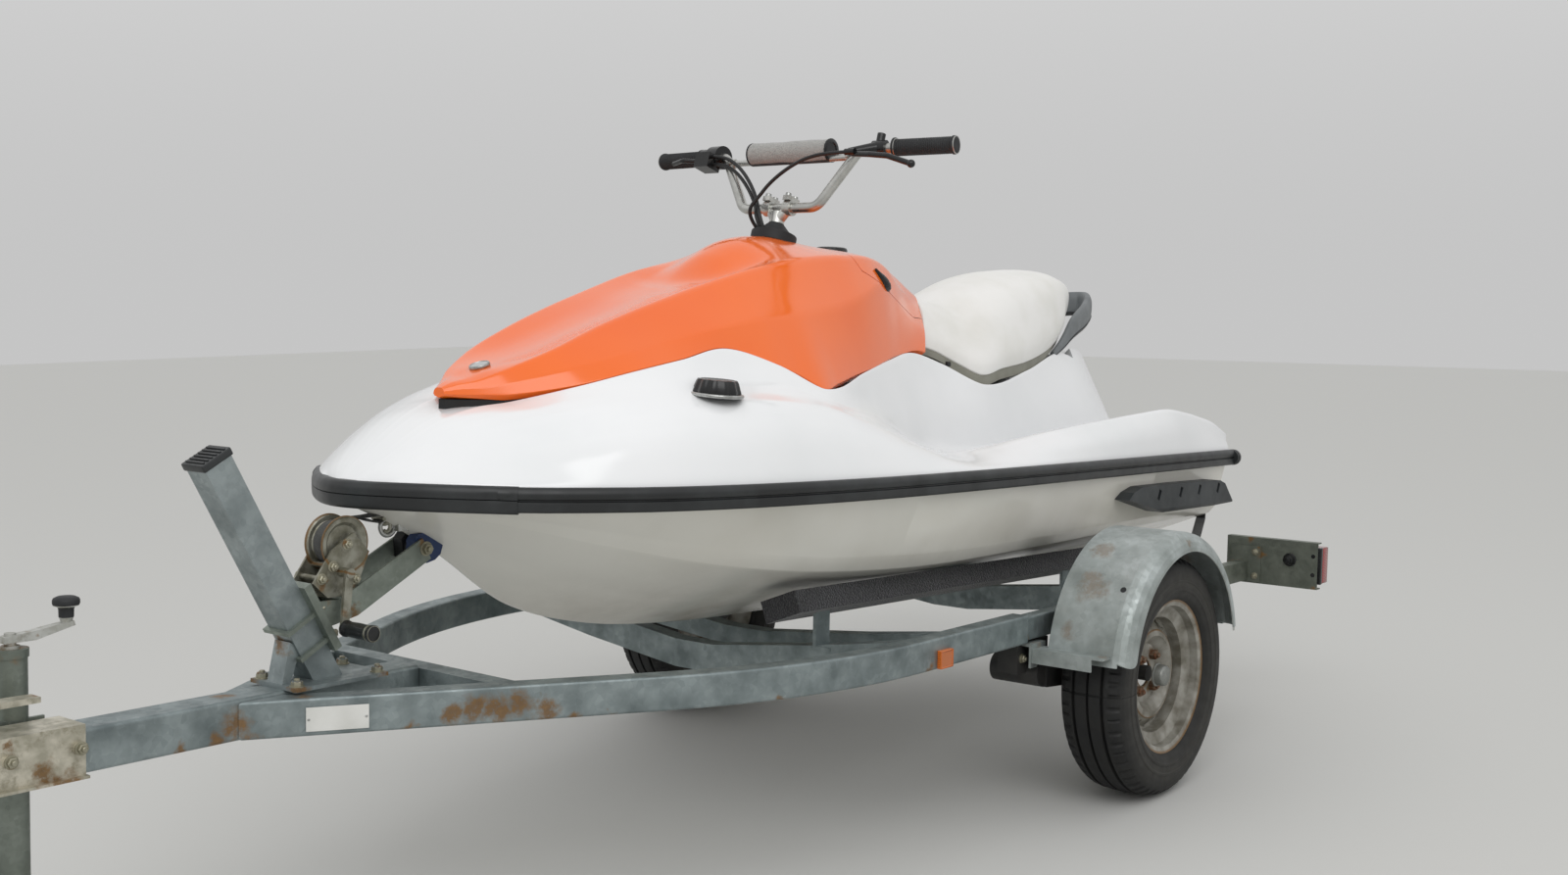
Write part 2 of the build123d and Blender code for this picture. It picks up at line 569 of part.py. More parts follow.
def build_frame():
    plan = rail_plan(RAIL_HALF, RAIL_WIDE, SLEEVE_U)
    front = Pos(0, 0, RAIL_LOW) * extrude(plan, amount=RAIL_TOP - RAIL_LOW)
    front = front & block(0, 1872, BAR_HALF + 1, 700, 0, 300)
    edges = [e for e in front.edges() if e.length > 300 and abs((e % 0).Z) < 0.1]
    front = fillet(edges, RAIL_EDGE_R)
    mid = RAIL_HALF - RAIL_WIDE / 2
    mouth = block(SLEEVE_U - 1, SLEEVE_U + 14, mid - 18.5, mid + 18.5, RAIL_LOW + 2.5, RAIL_TOP - 2.5)
    rear = block(RAIL_REAR_U, SLEEVE_U + 15, mid - 16.5, mid + 16.5, RAIL_LOW + 5, RAIL_TOP - 5)
    rear = fillet(rear.edges().filter_by(Axis.X), RAIL_EDGE_R)
    rail = (front - mouth) + rear
    plate = Pos(1745, 104.2, 120) * Rot(0, 0, -BEND_DEG) * Box(62, 3, 28)
    keep("rail_port", trailer(rail + plate))
    keep("rail_starboard", trailer(mirrored(rail)))
    bar = block(1512, BAR_NOSE_U, -BAR_HALF, BAR_HALF, RAIL_LOW, RAIL_TOP + 5)
    bar = fillet(bar.edges().filter_by(Axis.X), 6)
    keep("drawbar", trailer(bar))
    rails = PARTS["rail_port"] + PARTS["rail_starboard"]
    cross = trailer(block(1470, 1511, -260, 260, RAIL_LOW, RAIL_TOP)) - rails
    keep("front_cross_member", cross)
    keep("keel_cross_member", trailer(vee_beam(725, 765, 155, 97, 64)) - rails)
    keep("mid_cross_member", trailer(vee_beam(560, 600, 149, 107, 52)) - rails)
    keep("rear_cross_member", trailer(vee_beam(-262, -222, 155, 97, 56)) - rails)


def vee_beam(u0, u1, top, low, dip):
    upper = [(-500, top), (-300, top - dip * 0.5), (-50, top - dip), (50, top - dip), (300, top - dip * 0.5), (500, top)]
    lower = [(v, w - (top - low)) for v, w in reversed(upper)]
    face = make_face(Polyline(*[(u0, v, w) for v, w in upper + lower], close=True))
    return extrude(face, amount=u1 - u0, dir=(1, 0, 0))


def bunk_leg(u, s, base):
    leg = block(u - 22, u + 22, s * 312 - 4, s * 312 + 4, base, 320)
    foot = block(u - 22, u + 22, min(s * 312, s * 350), max(s * 312, s * 350), base, base + 6)
    return leg + foot


def build_bunks():
    for side, s in (("port", 1), ("starboard", -1)):
        board = Pos(1072, s * 300, -240) * Rot(s * 21.5, 0, 0) * Box(1405, 86, 44)
        board = craft(board) - PARTS["hull"]
        keep("bunk_" + side, board)
    for name, u, base in (("keel_cross_member", 745, 118), ("rear_cross_member", -242, 118)):
        cross = PARTS[name]
        for side, s in (("port", 1), ("starboard", -1)):
            leg = trailer(bunk_leg(u, s, base)) - PARTS["bunk_" + side] - PARTS["hull"]
            low = min(leg.solids(), key=lambda q: q.center().Z)
            cross = cross + low
        keep(name, cross)


def build_running_gear():
    for side, s in (("port", 1), ("starboard", -1)):
        unit = block(212, 338, 470, 518, 30, RAIL_LOW) + rod((272, 430, 28), (272, 545, 28), 30)
        arm = prism_y([(272, 58), (272, -2), (20, -26), (-26, -10), (-20, 26), (20, 26)], 538, 552)
        unit = unit + arm + rod((0, 540, 0), (0, 652, 0), 17)
        keep("suspension_" + side, trailer(unit if s > 0 else mirrored(unit)))
        wheel_parts(side, s)
        mudguard_parts(side, s)
        lamp_parts(side, s)


def wheel_parts(side, s):
    r, w = WHEEL_R, TYRE_W / 2
    pts = [(RIM_FLANGE_R - 3, -60), (RIM_FLANGE_R + 14, -w + 3), (r - 44, -w), (r - 12, -w + 14), (r - 1.5, -w + 34),
           (r, -12), (r, 12), (r - 1.5, w - 34), (r - 12, w - 14), (r - 44, w), (RIM_FLANGE_R + 14, w - 3),
           (RIM_FLANGE_R - 3, 60)]
    face = make_face(Polyline(*[(a, b, 0) for a, b in pts], close=True))
    body = revolve(face, axis=Axis.Y)
    face = make_face(Polyline((RIM_R + 2, -58, 0), (RIM_FLANGE_R, -58, 0), (RIM_FLANGE_R, 58, 0), (RIM_R + 2, 58, 0),
                              close=True))
    tyre = body - revolve(face, axis=Axis.Y)
    place = Pos(AXLE_X, s * TRACK_HALF, WHEEL_R)
    turn = Rot(0, 0, 0) if s > 0 else Rot(0, 0, 180)
    keep("tyre_" + side, place * turn * tyre)
    rim_pts = [(RIM_FLANGE_R - 2, 58), (RIM_FLANGE_R - 2, 62), (RIM_FLANGE_R - 16, 57), (RIM_R - 2, 40), (RIM_R - 26, 30),
               (RIM_R - 28, -10), (RIM_R - 2, -40), (RIM_FLANGE_R - 2, -57), (RIM_FLANGE_R - 2, -53),
               (RIM_R + 1, -36), (RIM_R - 22, -8), (RIM_R - 22, 28), (RIM_R + 1, 38)]
    outer = revolve(make_face(Polyline(*[(a, b, 0) for a, b in rim_pts], close=True)), axis=Axis.Y)
    disc_pts = [(RIM_R - 25, 4), (118, 2), (96, 22), (84, 24), (64, 2), (30, 0), (30, -5), (66, -4), (84, 18), (94, 16),
                (116, -4), (RIM_R - 25, -2)]
    disc = revolve(make_face(Polyline(*[(a, b, 0) for a, b in disc_pts], close=True)), axis=Axis.Y)
    slot = Plane(origin=(0, 0, 112), z_dir=(0, 1, 0)) * Pos(0, 0, -10) * extrude(SlotOverall(20, 11), amount=30)
    cuts = [Rot(0, 22.5 * i, 0) * slot for i in range(16)]
    disc = disc - cuts
    nuts = None
    for i in range(4):
        nut = Rot(0, 45 + 90 * i, 0) * rod((49, -4, 0), (49, 14, 0), 9)
        disc = disc + nut
    hub = rod((0, -46, 0), (0, -5, 0), 42) + rod((0, -6, 0), (0, 34, 0), 27) + rod((0, 33, 0), (0, 52, 0), 22)
    rim = outer + disc + hub - rod((0, -90, 0), (0, 12, 0), 17.05)
    keep("wheel_" + side, place * turn * rim)
    keep("tyre_" + side, PARTS["tyre_" + side] - PARTS["wheel_" + side])


# Mudguard: section as (radius, v) about the line GUARD_W above the wheel centre, inner edge to rolled rim
GUARD_W = 30.0
GUARD_OUT = [(283, 556), (286, 558), (286, 706), (283.5, 719), (276.5, 730), (266, 738), (254, 742), (246, 742)]
GUARD_IN = [(246, 739), (254, 738.5), (264, 735), (274, 727), (280, 717.5), (282.5, 706), (282.5, 560), (280, 556)]


def mudguard_parts(side, s):
    guard = Pos(0, 0, GUARD_W) * turned(GUARD_OUT + GUARD_IN)
    front_corner = Pos(262, 0, 86) * Rot(90, 0, 0) * Cylinder(24, 1600)
    keep_zone = block(-320, 0, 500, 800, 81, 400) + block(0, 320, 500, 800, 86, 400) \
        + block(0, 320, 500, 715, 62, 87) + (front_corner & block(0, 320, 500, 800, 62, 87))
    guard = guard & keep_zone
    front = block(268, 318, RAIL_HALF, 702, 80, 84) + block(314, 318, RAIL_HALF, 676, 54, 84)
    front = front + block(262, 322, RAIL_HALF - 36, RAIL_HALF + 5, 88, 94)
    front = front + block(262, 322, RAIL_HALF, RAIL_HALF + 5, 44, 94)
    rear = block(-306, -270, RAIL_HALF, 702, 80, 84) + block(-306, -302, RAIL_HALF, 676, 60, 84)
    rear = rear + block(-306, -270, RAIL_HALF, RAIL_HALF + 5, 60, 148)
    guard = guard + front + rear
    if s < 0:
        guard = mirrored(guard)
    keep("mudguard_" + side, trailer(guard) - PARTS["rail_" + side] - PARTS["suspension_" + side])


def lamp_parts(side, s):
    u = -840.0
    board = block(u - 3, u, 466, 709, 92, 212) + block(u - 24, u, 466, 709, 209, 212)
    board = board + block(u - 24, u, 466, 709, 92, 95) + block(u - 24, u, 466, 469, 92, 212)
    lamp = block(u - 52, u - 2, 596, 716, 108, 198)
    arm = block(u - 1, RAIL_REAR_U, 497, 527, 100, 150) + block(u - 1, u + 6, 480, 560, 96, 190)
    refl = block(632, 672, RAIL_HALF, RAIL_HALF + 9, 98, 130)
    lamps = board + lamp + arm
    if s < 0:
        lamps, refl = mirrored(lamps), mirrored(refl)
    keep("lamp_board_" + side, trailer(lamps) - PARTS["rail_" + side])
    keep("side_reflector_" + side, trailer(refl) - PARTS["rail_" + side])


def build_coupling():
    body = block(2112, 2345, -36, 36, 92, 168) + block(2112, 2330, -47, 47, 92, 96)
    body = body + Pos(BALL_U, 0, 128) * Cylinder(40, 56) + block(2300, BALL_U, -30, 30, 104, 160)
    for u, w in ((2123, 136), (2224, 136)):
        body = body + rod((u, -44, w), (u, 44, w), 9.5)
    lever = prism_y([(2360, 172), (2372, 196), (2290, 214), (2165, 212), (2165, 204), (2286, 204), (2340, 172)],
                    -14, 14)
    body = body + lever + block(2340, 2392, -16, 16, 150, 178)
    body = body - block(2000, BAR_NOSE_U + 1, -BAR_HALF - 0.5, BAR_HALF + 0.5, 80, RAIL_TOP + 5.5)
    keep("coupling", trailer(body - Pos(BALL_U, 0, 112) * Cylinder(25.4, 40)))


def build_jack():
    v, u = JACK_V - 4, JACK_U
    clamp = block(u - 40, u + 40, -BAR_HALF - 22, -BAR_HALF - 16, 84, 170) + Pos(u, v, 128) * Box(64, 50, 50)
    tube = Pos(u, v, 80) * Cylinder(23, 360) + clamp + Pos(u, v, 264) * Cylinder(25, 12)
    tube = tube - Pos(u, v, 50) * Cylinder(17.05, 400)
    keep("jack_tube", trailer(tube) - PARTS["coupling"] - PARTS["drawbar"])
    foot_w = -(WHEEL_R + u * math.sin(math.radians(TRAILER_TILT))) + 1.5
    ram = Pos(u, v, (40 + foot_w) / 2) * Cylinder(17, 40 - foot_w)
    foot = Pos(u, v, foot_w + 5) * Rot(0, TRAILER_TILT, 0) * Cylinder(55, 6)
    keep("jack_ram", trailer(ram + foot) & block(-3000, 3000, -600, 600, 0, 900))
    # screw head with its collar, the cranked arm and the mushroom knob
    crank = rod((u, v, 262), (u, v, 292), 8) + rod((u, v, 268), (u, v, 274), 13)
    crank = crank + prism_y([(u + 12, 278), (u + 12, 288), (u - 28, 291), (u - 92, 299), (u - 94, 292), (u - 34, 278)],
                            v - 8, v + 8)
    crank = crank + taper((u - 84, v, 294), (u - 84, v, 304), 7, 10) + rod((u - 84, v, 303.5), (u - 84, v, 320), 10)
    crank = crank + taper((u - 84, v, 318), (u - 84, v, 322), 10, 18) + rod((u - 84, v, 321.5), (u - 84, v, 331), 18)
    crank = crank + taper((u - 84, v, 330.5), (u - 84, v, 334), 18, 12)
    keep("jack_crank", trailer(crank) - PARTS["jack_tube"])


def on_post(shape):
    # local z runs up the winch post, x forward of it
    return trailer(Pos(POST_U, 0, RAIL_TOP + 5) * Rot(0, POST_LEAN, 0) * shape)


def build_winch():
    h = POST_SIDE / 2
    foot = block(-90, 90, -60, 60, RAIL_TOP + 5, RAIL_TOP + 11.5)
    base = trailer(Pos(POST_U, 0, 0) * foot)
    post = Pos(0, 0, 205) * Box(POST_SIDE, POST_SIDE, 430)
    post = on_post(post) & trailer(block(1400, 2200, -100, 100, RAIL_TOP + 6, 700))
    strut = trailer(prism_y([(1775, 165), (1760, 165), (1740, 222), (1760, 232)], -20, 20))
    cap = on_post(Pos(0, 0, 422) * Box(54, 54, 10))
    corners = ((-78, 46), (-78, -46), (78, 46), (78, -46))
    bolts = joined(trailer(Pos(POST_U + x, y, RAIL_TOP + 14) * Cylinder(8, 14)) for x, y in corners)
    keep("winch_post", base + post + strut + cap + bolts - PARTS["drawbar"])
    # the arms' plate behind the post is drawn up to it by two square U-bolts
    clamp = block(-h - 14, -h, -40, 40, 44, 168)
    for up in (66, 116):
        u_bolt = block(-h - 20, h + 7, -h - 8, h + 8, up - 3.5, up + 3.5)
        clamp = clamp + (u_bolt - block(-h - 30, h + 0.2, -h - 0.2, h + 0.2, 0, 300))
    clamp = on_post(clamp)
    side = [(1699, 250), (1722, 294), (1676, 292), (1506, 376), (1488, 340), (1640, 262)]
    arms = prism_y(side, 30, 35) + prism_y(side, -35, -30)
    arms = arms + block(1652, 1664, -31, 31, 268, 286) + rod((1499, -37, 358), (1499, 37, 358), 7)
    keep("bow_stop_arms", trailer(arms) + clamp - PARTS["winch_post"])
    lobe = [(1514, 340), (1518, 372), (1509, 382), (1494, 388), (1474, 385), (1461, 375), (1457, 360), (1462, 345),
            (1474, 336), (1492, 332)]
    vee = prism_y(lobe, 6, 29) + prism_y(lobe, -29, -6) + rod((1499, -8, 358), (1499, 8, 358), 14)
    keep("bow_stop", trailer(vee) - PARTS["bow_stop_arms"] - PARTS["hull"])
    # bent side plates, tie bars and axle; the drum's two flanges are dished pressings
    side = [(1722, 322), (1694, 296), (1640, 300), (1612, 364), (1644, 398), (1686, 372)]
    frame = prism_y(side, 24, 28) + prism_y(side, -28, -24) + block(1642, 1694, -28, 28, 296, 300)
    for u, w, reach, r in ((1706, 328, 33, 5), (1656, 380, 35, 6), (1684, 346, 32, 5), (1640, 322, 32, 4)):
        frame = frame + rod((u, -reach, w), (u, reach, w), r)
    dished = [(6, 16), (30, 16), (35, 20), (41, 20), (44, 22.5), (46, 22.5), (46, 20.5), (42, 17.5), (36, 17.5),
              (31, 13.5), (6, 13.5)]
    drum = turned(dished)
    drum = Pos(1656, 0, 380) * (drum + mirrored(drum)) + rod((1656, -14, 380), (1656, 14, 380), 26)
    crank = rod((1668, 23, 336), (1668, 54, 336), 8)
    crank = crank + prism_y([(1676, 342), (1660, 342), (1672, 240), (1686, 240)], 46, 52)
    crank = crank + rod((1678, 51, 248), (1678, 118, 248), 11.5) + rod((1678, 52, 248), (1678, 58, 248), 13) \
        + rod((1678, 112, 248), (1678, 124, 248), 13)
    winch = trailer(frame + drum + crank)
    keep("winch", winch - PARTS["bow_stop_arms"] - PARTS["winch_post"])


# Tie-down, in the craft frame: where it turns under the transom's edge, and its end on the lamp arm
TIE_CORNER = (-24.0, STERN_EYE_Y, -168.0)
TIE_END = (412.0, 505.0, -265.0)


def strip(a, b):
    # flat webbing 25 mm wide and 3 mm thick between two points, its width across the trailer
    a, b = Vector(*a), Vector(*b)
    d = b - a
    return Plane(origin=(a + b) * 0.5, x_dir=(0, 1, 0), z_dir=d) * Box(25, 3, d.length)


def build_straps():
    strap = prism_y([(1656, 408), (1560, 420), (1486, 424), (1486, 420), (1560, 416), (1656, 404)], -17, 17)
    keep("winch_strap", trailer(strap) - PARTS["winch"] - PARTS["hull"] - PARTS["bow_eye"])
    # a shackle round the neck of the stern eye, webbing down the transom and on to the lamp arm
    y = STERN_EYE_Y
    for side, s in (("port", 1), ("starboard", -1)):
        shackle = block(-35, -27, y - 18, y + 18, -98.5, -81.5) - block(-40, -20, y - 14, y + 14, -94.5, -85.5)
        loop = block(-512, -488, 494, 530, 97, 153) - block(-520, -480, 497, 527, 100, 150)
        web = craft(shackle + strip((-31, y, -97.5), TIE_CORNER) + strip(TIE_CORNER, TIE_END)) + trailer(loop)
        if s < 0:
            web = mirrored(web)
        keep("tie_down_" + side, web - PARTS["hull"] - PARTS["lamp_board_" + side])


build_hull()
build_deck()
build_hood()
build_seat()
build_trim()
build_deck_fittings()
build_drive()
build_steering()
build_cables()
build_frame()
build_bunks()
build_running_gear()
build_coupling()
build_jack()
build_winch()
build_straps()

for name, solid in PARTS.items():
    export_step(solid, "parts/" + name + ".step")
box = Compound(children=list(PARTS.values())).bounding_box()
print(len(PARTS), "parts", box.min, box.max)
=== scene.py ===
import math
import bmesh
import bpy
import numpy as np
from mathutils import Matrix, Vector


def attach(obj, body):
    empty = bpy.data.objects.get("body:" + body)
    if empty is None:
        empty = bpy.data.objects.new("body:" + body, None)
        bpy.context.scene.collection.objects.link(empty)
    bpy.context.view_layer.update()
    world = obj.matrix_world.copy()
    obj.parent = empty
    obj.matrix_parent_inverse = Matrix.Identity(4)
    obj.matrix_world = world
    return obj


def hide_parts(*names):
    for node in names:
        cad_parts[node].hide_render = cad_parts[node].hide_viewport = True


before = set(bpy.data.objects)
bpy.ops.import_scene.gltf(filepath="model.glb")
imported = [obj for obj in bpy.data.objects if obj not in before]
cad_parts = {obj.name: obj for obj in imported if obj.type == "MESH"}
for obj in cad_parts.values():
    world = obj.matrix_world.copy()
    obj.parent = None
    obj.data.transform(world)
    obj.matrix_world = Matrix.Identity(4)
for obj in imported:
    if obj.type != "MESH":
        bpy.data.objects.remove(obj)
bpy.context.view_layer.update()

# The camera stands off the port bow at eye height, as far away as the wheel's size in the picture
# tells. Its lens covers the frame that the picture has.
PICTURE_W = 1600.0
SENSOR_MM = 36.0
FOCAL_PX = 1707.43
CAMERA_AT = (2.6123, 2.2408, 1.112)
LOOK_TURN = math.radians(38.06)
LOOK_DOWN = math.radians(5.30)
camera_data = bpy.data.cameras.new("camera")
camera_data.sensor_width = SENSOR_MM
camera_data.lens = FOCAL_PX / PICTURE_W * SENSOR_MM
camera_data.clip_end = 60.0
camera = bpy.data.objects.new("camera", camera_data)
bpy.context.collection.objects.link(camera)
camera.location = CAMERA_AT
look = Vector((-math.cos(LOOK_TURN) * math.cos(LOOK_DOWN),
               -math.sin(LOOK_TURN) * math.cos(LOOK_DOWN), -math.sin(LOOK_DOWN)))
camera.rotation_mode = "QUATERNION"
camera.rotation_quaternion = look.to_track_quat("-Z", "Y")
bpy.context.scene.camera = camera

# The hull is glass fibre under off-white gelcoat: a moulded shell with a keel, a strake, two chines
# and a pump tunnel. Gelcoat is glossy and hard, and this one is darker low down: dust where spray has
# dried, and painted shade and painted reflection of the ground under the hull.
AXLE_X = -709.5
CRAFT_TRIM = math.radians(3.1)
TRANSOM_BACK = 930.0
RAIL_LINE_Z = 640.0


def tilted(points, angle, at):
    """Points in mm turned nose-up by the angle about y, then moved to the place `at`, in metres."""
    p = np.asarray(points, float)
    c, s = math.cos(angle), math.sin(angle)
    x = p[..., 0] * c - p[..., 2] * s + at[0]
    z = p[..., 0] * s + p[..., 2] * c + at[2]
    return np.stack([x, p[..., 1] + at[1], z], axis=-1) / 1000.0


def craft(points):
    """Craft frame to row frame: x forward of the transom, y port, z above the rub rail line."""
    return tilted(points, CRAFT_TRIM, (AXLE_X - TRANSOM_BACK, 0.0, RAIL_LINE_Z))


def through(stations, rows, at):
    """Cubics through the rows at their stations, read at the places `at`; each row's slope is that
    of the line between its two neighbours."""
    s, p, at = np.asarray(stations, float), np.asarray(rows, float), np.asarray(at, float)
    low = np.maximum(np.arange(len(s)) - 1, 0)
    high = np.minimum(np.arange(len(s)) + 1, len(s) - 1)
    shape = (-1,) + (1,) * (p.ndim - 1)
    m = (p[high] - p[low]) / (s[high] - s[low]).reshape(shape)
    i = np.clip(np.searchsorted(s, at, side="right") - 1, 0, len(s) - 2)
    h = (s[i + 1] - s[i]).reshape(shape)
    t = ((at - s[i]).reshape(shape)) / h
    return ((2 * t ** 3 - 3 * t ** 2 + 1) * p[i] + (t ** 3 - 2 * t ** 2 + t) * h * m[i]
            + (3 * t ** 2 - 2 * t ** 3) * p[i + 1] + (t ** 3 - t ** 2) * h * m[i + 1])


def rounded(corners, soft, steps, spare=0):
    """Each corner of a closed ring, along the last axis but one, becomes a parabola between points on its
    two sides, at the share `soft` of each side, so 0.5 is one smooth curve and 0.03 a crisp edge. `spare`
    points divide each straight stretch, which keeps a glossy face's shading even."""
    c = np.asarray(corners, float)
    soft = np.broadcast_to(np.asarray(soft, float), (c.shape[-2],))[:, None, None]
    t = np.linspace(0.0, 1.0, steps)[:, None]
    mid = c[..., :, None, :]
    a = mid + (np.roll(mid, 1, axis=-3) - mid) * soft
    b = mid + (np.roll(mid, -1, axis=-3) - mid) * soft
    curve = (1 - t) ** 2 * a + 2 * t * (1 - t) * mid + t ** 2 * b
    if spare:
        share = np.arange(1, spare + 1)[:, None] / (spare + 1)
        curve = np.concatenate([curve, b + (np.roll(a, -1, axis=-3) - b) * share], axis=-2)
    return curve.reshape(c.shape[:-2] + (-1, c.shape[-1]))


def both_sides(half):
    """A half ring from bottom centre to top centre, with its mirror image: (rows, points, (y, z))."""
    other = half[..., ::-1, :][..., 1:-1, :] * np.array([-1.0, 1.0])
    return np.concatenate([half, other], axis=-2)


def with_x(stations, rings):
    """Rings of (y, z) with their station put in front, as (x, y, z)."""
    x = np.broadcast_to(np.asarray(stations)[:, None, None], rings.shape[:2] + (1,))
    return np.concatenate([x, rings], axis=-1)


def mesh_object(name, verts, faces, sharp=35.0):
    """A mesh from arrays of points and faces, smooth but for edges sharper than the angle."""
    mesh = bpy.data.meshes.new(name)
    mesh.from_pydata(np.asarray(verts).reshape(-1, 3).tolist(), [], faces)
    bm = bmesh.new()
    bm.from_mesh(mesh)
    bmesh.ops.remove_doubles(bm, verts=bm.verts, dist=1e-5)
    bmesh.ops.recalc_face_normals(bm, faces=bm.faces)
    bm.to_mesh(mesh)
    bm.free()
    mesh.shade_smooth()
    mesh.set_sharp_from_angle(angle=math.radians(sharp))
    obj = bpy.data.objects.new(name, mesh)
    bpy.context.collection.objects.link(obj)
    return obj


def ring_faces(n, m, loop=False, first=0):
    """Quads between n rings of m points, counted from `first`, and from the last ring to the first where
    they make a loop. Otherwise a flat face closes each end."""
    i = np.arange(n if loop else n - 1)[:, None]
    j = np.arange(m)[None, :]
    here, across = i * m, (i + 1) % n * m
    quads = [here + j, here + (j + 1) % m, across + (j + 1) % m, across + j]
    faces = (np.stack(quads, axis=-1).reshape(-1, 4) + first).tolist()
    if not loop:
        faces.append(list(range(first + m - 1, first - 1, -1)))
        faces.append(list(range(first + (n - 1) * m, first + n * m)))
    return faces


def lofted(name, rings, sharp=35.0):
    """A closed skin over rings of points, each ring closed, with flat faces over both ends."""
    return mesh_object(name, rings, ring_faces(*rings.shape[:2]), sharp)


def prism(name, outline, low, high, to_row, axis=1):
    """A flat outline carried from low to high along one axis of a frame, as a mesh object."""
    flat = np.asarray(outline, float)
    rings = [np.insert(flat, axis, level, axis=1) for level in (low, high)]
    return lofted(name, to_row(np.stack(rings)), 30.0)


def slab(name, x, y, z, to_row):
    """A box between pairs of x, y and z, for cutting."""
    return prism(name, [(x[0], z[0]), (x[1], z[0]), (x[1], z[1]), (x[0], z[1])], y[0], y[1], to_row)


def carved(obj, cutters, operation="DIFFERENCE"):
    """Takes the cutters from the object, or keeps what lies in them, and then deletes them."""
    for cutter in cutters:
        mod = obj.modifiers.new("cut", "BOOLEAN")
        mod.operation = operation
        mod.solver = "EXACT"
        mod.object = cutter
    bpy.context.view_layer.update()
    depsgraph = bpy.context.evaluated_depsgraph_get()
    cut = bpy.data.meshes.new_from_object(obj.evaluated_get(depsgraph))
    obj.modifiers.clear()
    obj.data = cut
    cut.set_sharp_from_angle(angle=math.radians(35))
    for cutter in cutters:
        bpy.data.objects.remove(cutter)
    return obj


def fitted(piece, material, body, slot, *nodes):
    """Gives a new piece its material, the body it rides on and the nodes it stands for. Its record slot is
    not used.
    """
    piece.data.materials.clear()
    piece.data.materials.append(material)
    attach(piece, body)
    if nodes:
        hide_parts(*nodes)


def linear(hex_colour):
    """An sRGB hex value as a linear colour with alpha 1."""
    text = hex_colour.lstrip("#")
    c = np.array([int(text[i:i + 2], 16) / 255.0 for i in (0, 2, 4)])
    c = np.where(c <= 0.04045, c / 12.92, ((c + 0.055) / 1.055) ** 2.4)
    return (float(c[0]), float(c[1]), float(c[2]), 1.0)


def add(tree, kind, values=None, links=None, **settings):
    """One node with its settings, socket values and links, sockets by name or number."""
    node = tree.nodes.new(kind)
    for key, value in settings.items():
        setattr(node, key, value)
    for key, value in (values or {}).items():
        node.inputs[key].default_value = value
    for key, source in (links or {}).items():
        tree.links.new(source, node.inputs[key])
    return node


def new_material(name, **shader_values):
    """An empty material with its shader, and Object coordinates in metres."""
    material = bpy.data.materials.new(name)
    material.use_nodes = True
    tree = material.node_tree
    shader = tree.nodes["Principled BSDF"]
    for key, value in shader_values.items():
        shader.inputs[key.replace("_", " ")].default_value = value
    coords = add(tree, "ShaderNodeTexCoord").outputs["Object"]
    return material, tree, shader, coords


def mottled(tree, coords, base, other, size_mm, low=0.4, high=0.65, detail=4.0):
    """A colour that wanders between two hex values in patches of about size_mm."""
    noise = add(tree, "ShaderNodeTexNoise", {"Scale": 1000.0 / size_mm, "Detail": detail},
                {"Vector": coords})
    share = add(tree, "ShaderNodeMapRange", {"From Min": low, "From Max": high},
                {"Value": noise.outputs["Fac"]})
    mix = add(tree, "ShaderNodeMix", {6: linear(base), 7: linear(other)}, {0: share.outputs[0]},
              data_type="RGBA")
    return mix.outputs[2]


def grained(tree, shader, coords, size_mm, height_mm, detail=3.0):
    """A bump of the grain's real size and height."""
    noise = add(tree, "ShaderNodeTexNoise", {"Scale": 1000.0 / size_mm, "Detail": detail},
                {"Vector": coords})
    bump = add(tree, "ShaderNodeBump", {"Distance": height_mm / 1000.0, "Strength": 1.0},
               {"Height": noise.outputs["Fac"]})
    tree.links.new(bump.outputs[0], shader.inputs["Normal"])


def worn_roughness(tree, shader, coords, size_mm, low, high, detail=5.0):
    """Roughness that wanders between two values in patches of about size_mm."""
    noise = add(tree, "ShaderNodeTexNoise", {"Scale": 1000.0 / size_mm, "Detail": detail},
                {"Vector": coords})
    span = {"From Min": 0.15, "From Max": 0.85, "To Min": low, "To Max": high}
    rough = add(tree, "ShaderNodeMapRange", span, {"Value": noise.outputs["Fac"]})
    tree.links.new(rough.outputs[0], shader.inputs["Roughness"])


# over this height the dust and painted shade thin out upwards
SHADE_AND_DUST_FADE_M = 0.26


def gelcoat(name, colour, shade, dust, shade_and_dust_top_m, low=0.16, high=0.28, coat=0.25):
    """Sprayed polyester gelcoat: glossy, slightly wavy, chalked in patches, and below a height darkened in
    specks towards one colour that paints both dust and shade.
    """
    material, tree, shader, coords = new_material(name, IOR=1.5, Coat_Weight=coat, Coat_Roughness=0.12)
    paint = mottled(tree, coords, colour, shade, 420.0)
    height = add(tree, "ShaderNodeSeparateXYZ", None, {"Vector": coords}).outputs["Z"]
    speck = add(tree, "ShaderNodeTexNoise", {"Scale": 14.0, "Detail": 5.0, "Roughness": 0.6},
                {"Vector": coords})
    span = {"From Min": shade_and_dust_top_m, "From Max": shade_and_dust_top_m - SHADE_AND_DUST_FADE_M, "To Max": 0.95}
    rise = add(tree, "ShaderNodeMapRange", span, {"Value": height})
    # the share of dust and painted shade together, broken into specks
    dusty = add(tree, "ShaderNodeMath", None, {0: rise.outputs[0], 1: speck.outputs["Fac"]},
                operation="MULTIPLY")
    mix = add(tree, "ShaderNodeMix", {7: linear(dust)}, {0: dusty.outputs[0], 6: paint}, data_type="RGBA")
    tree.links.new(mix.outputs[2], shader.inputs["Base Color"])
    worn_roughness(tree, shader, coords, 160.0, low, high, 1.0)
    grained(tree, shader, coords, 260.0, 0.06, 0.0)
    return material


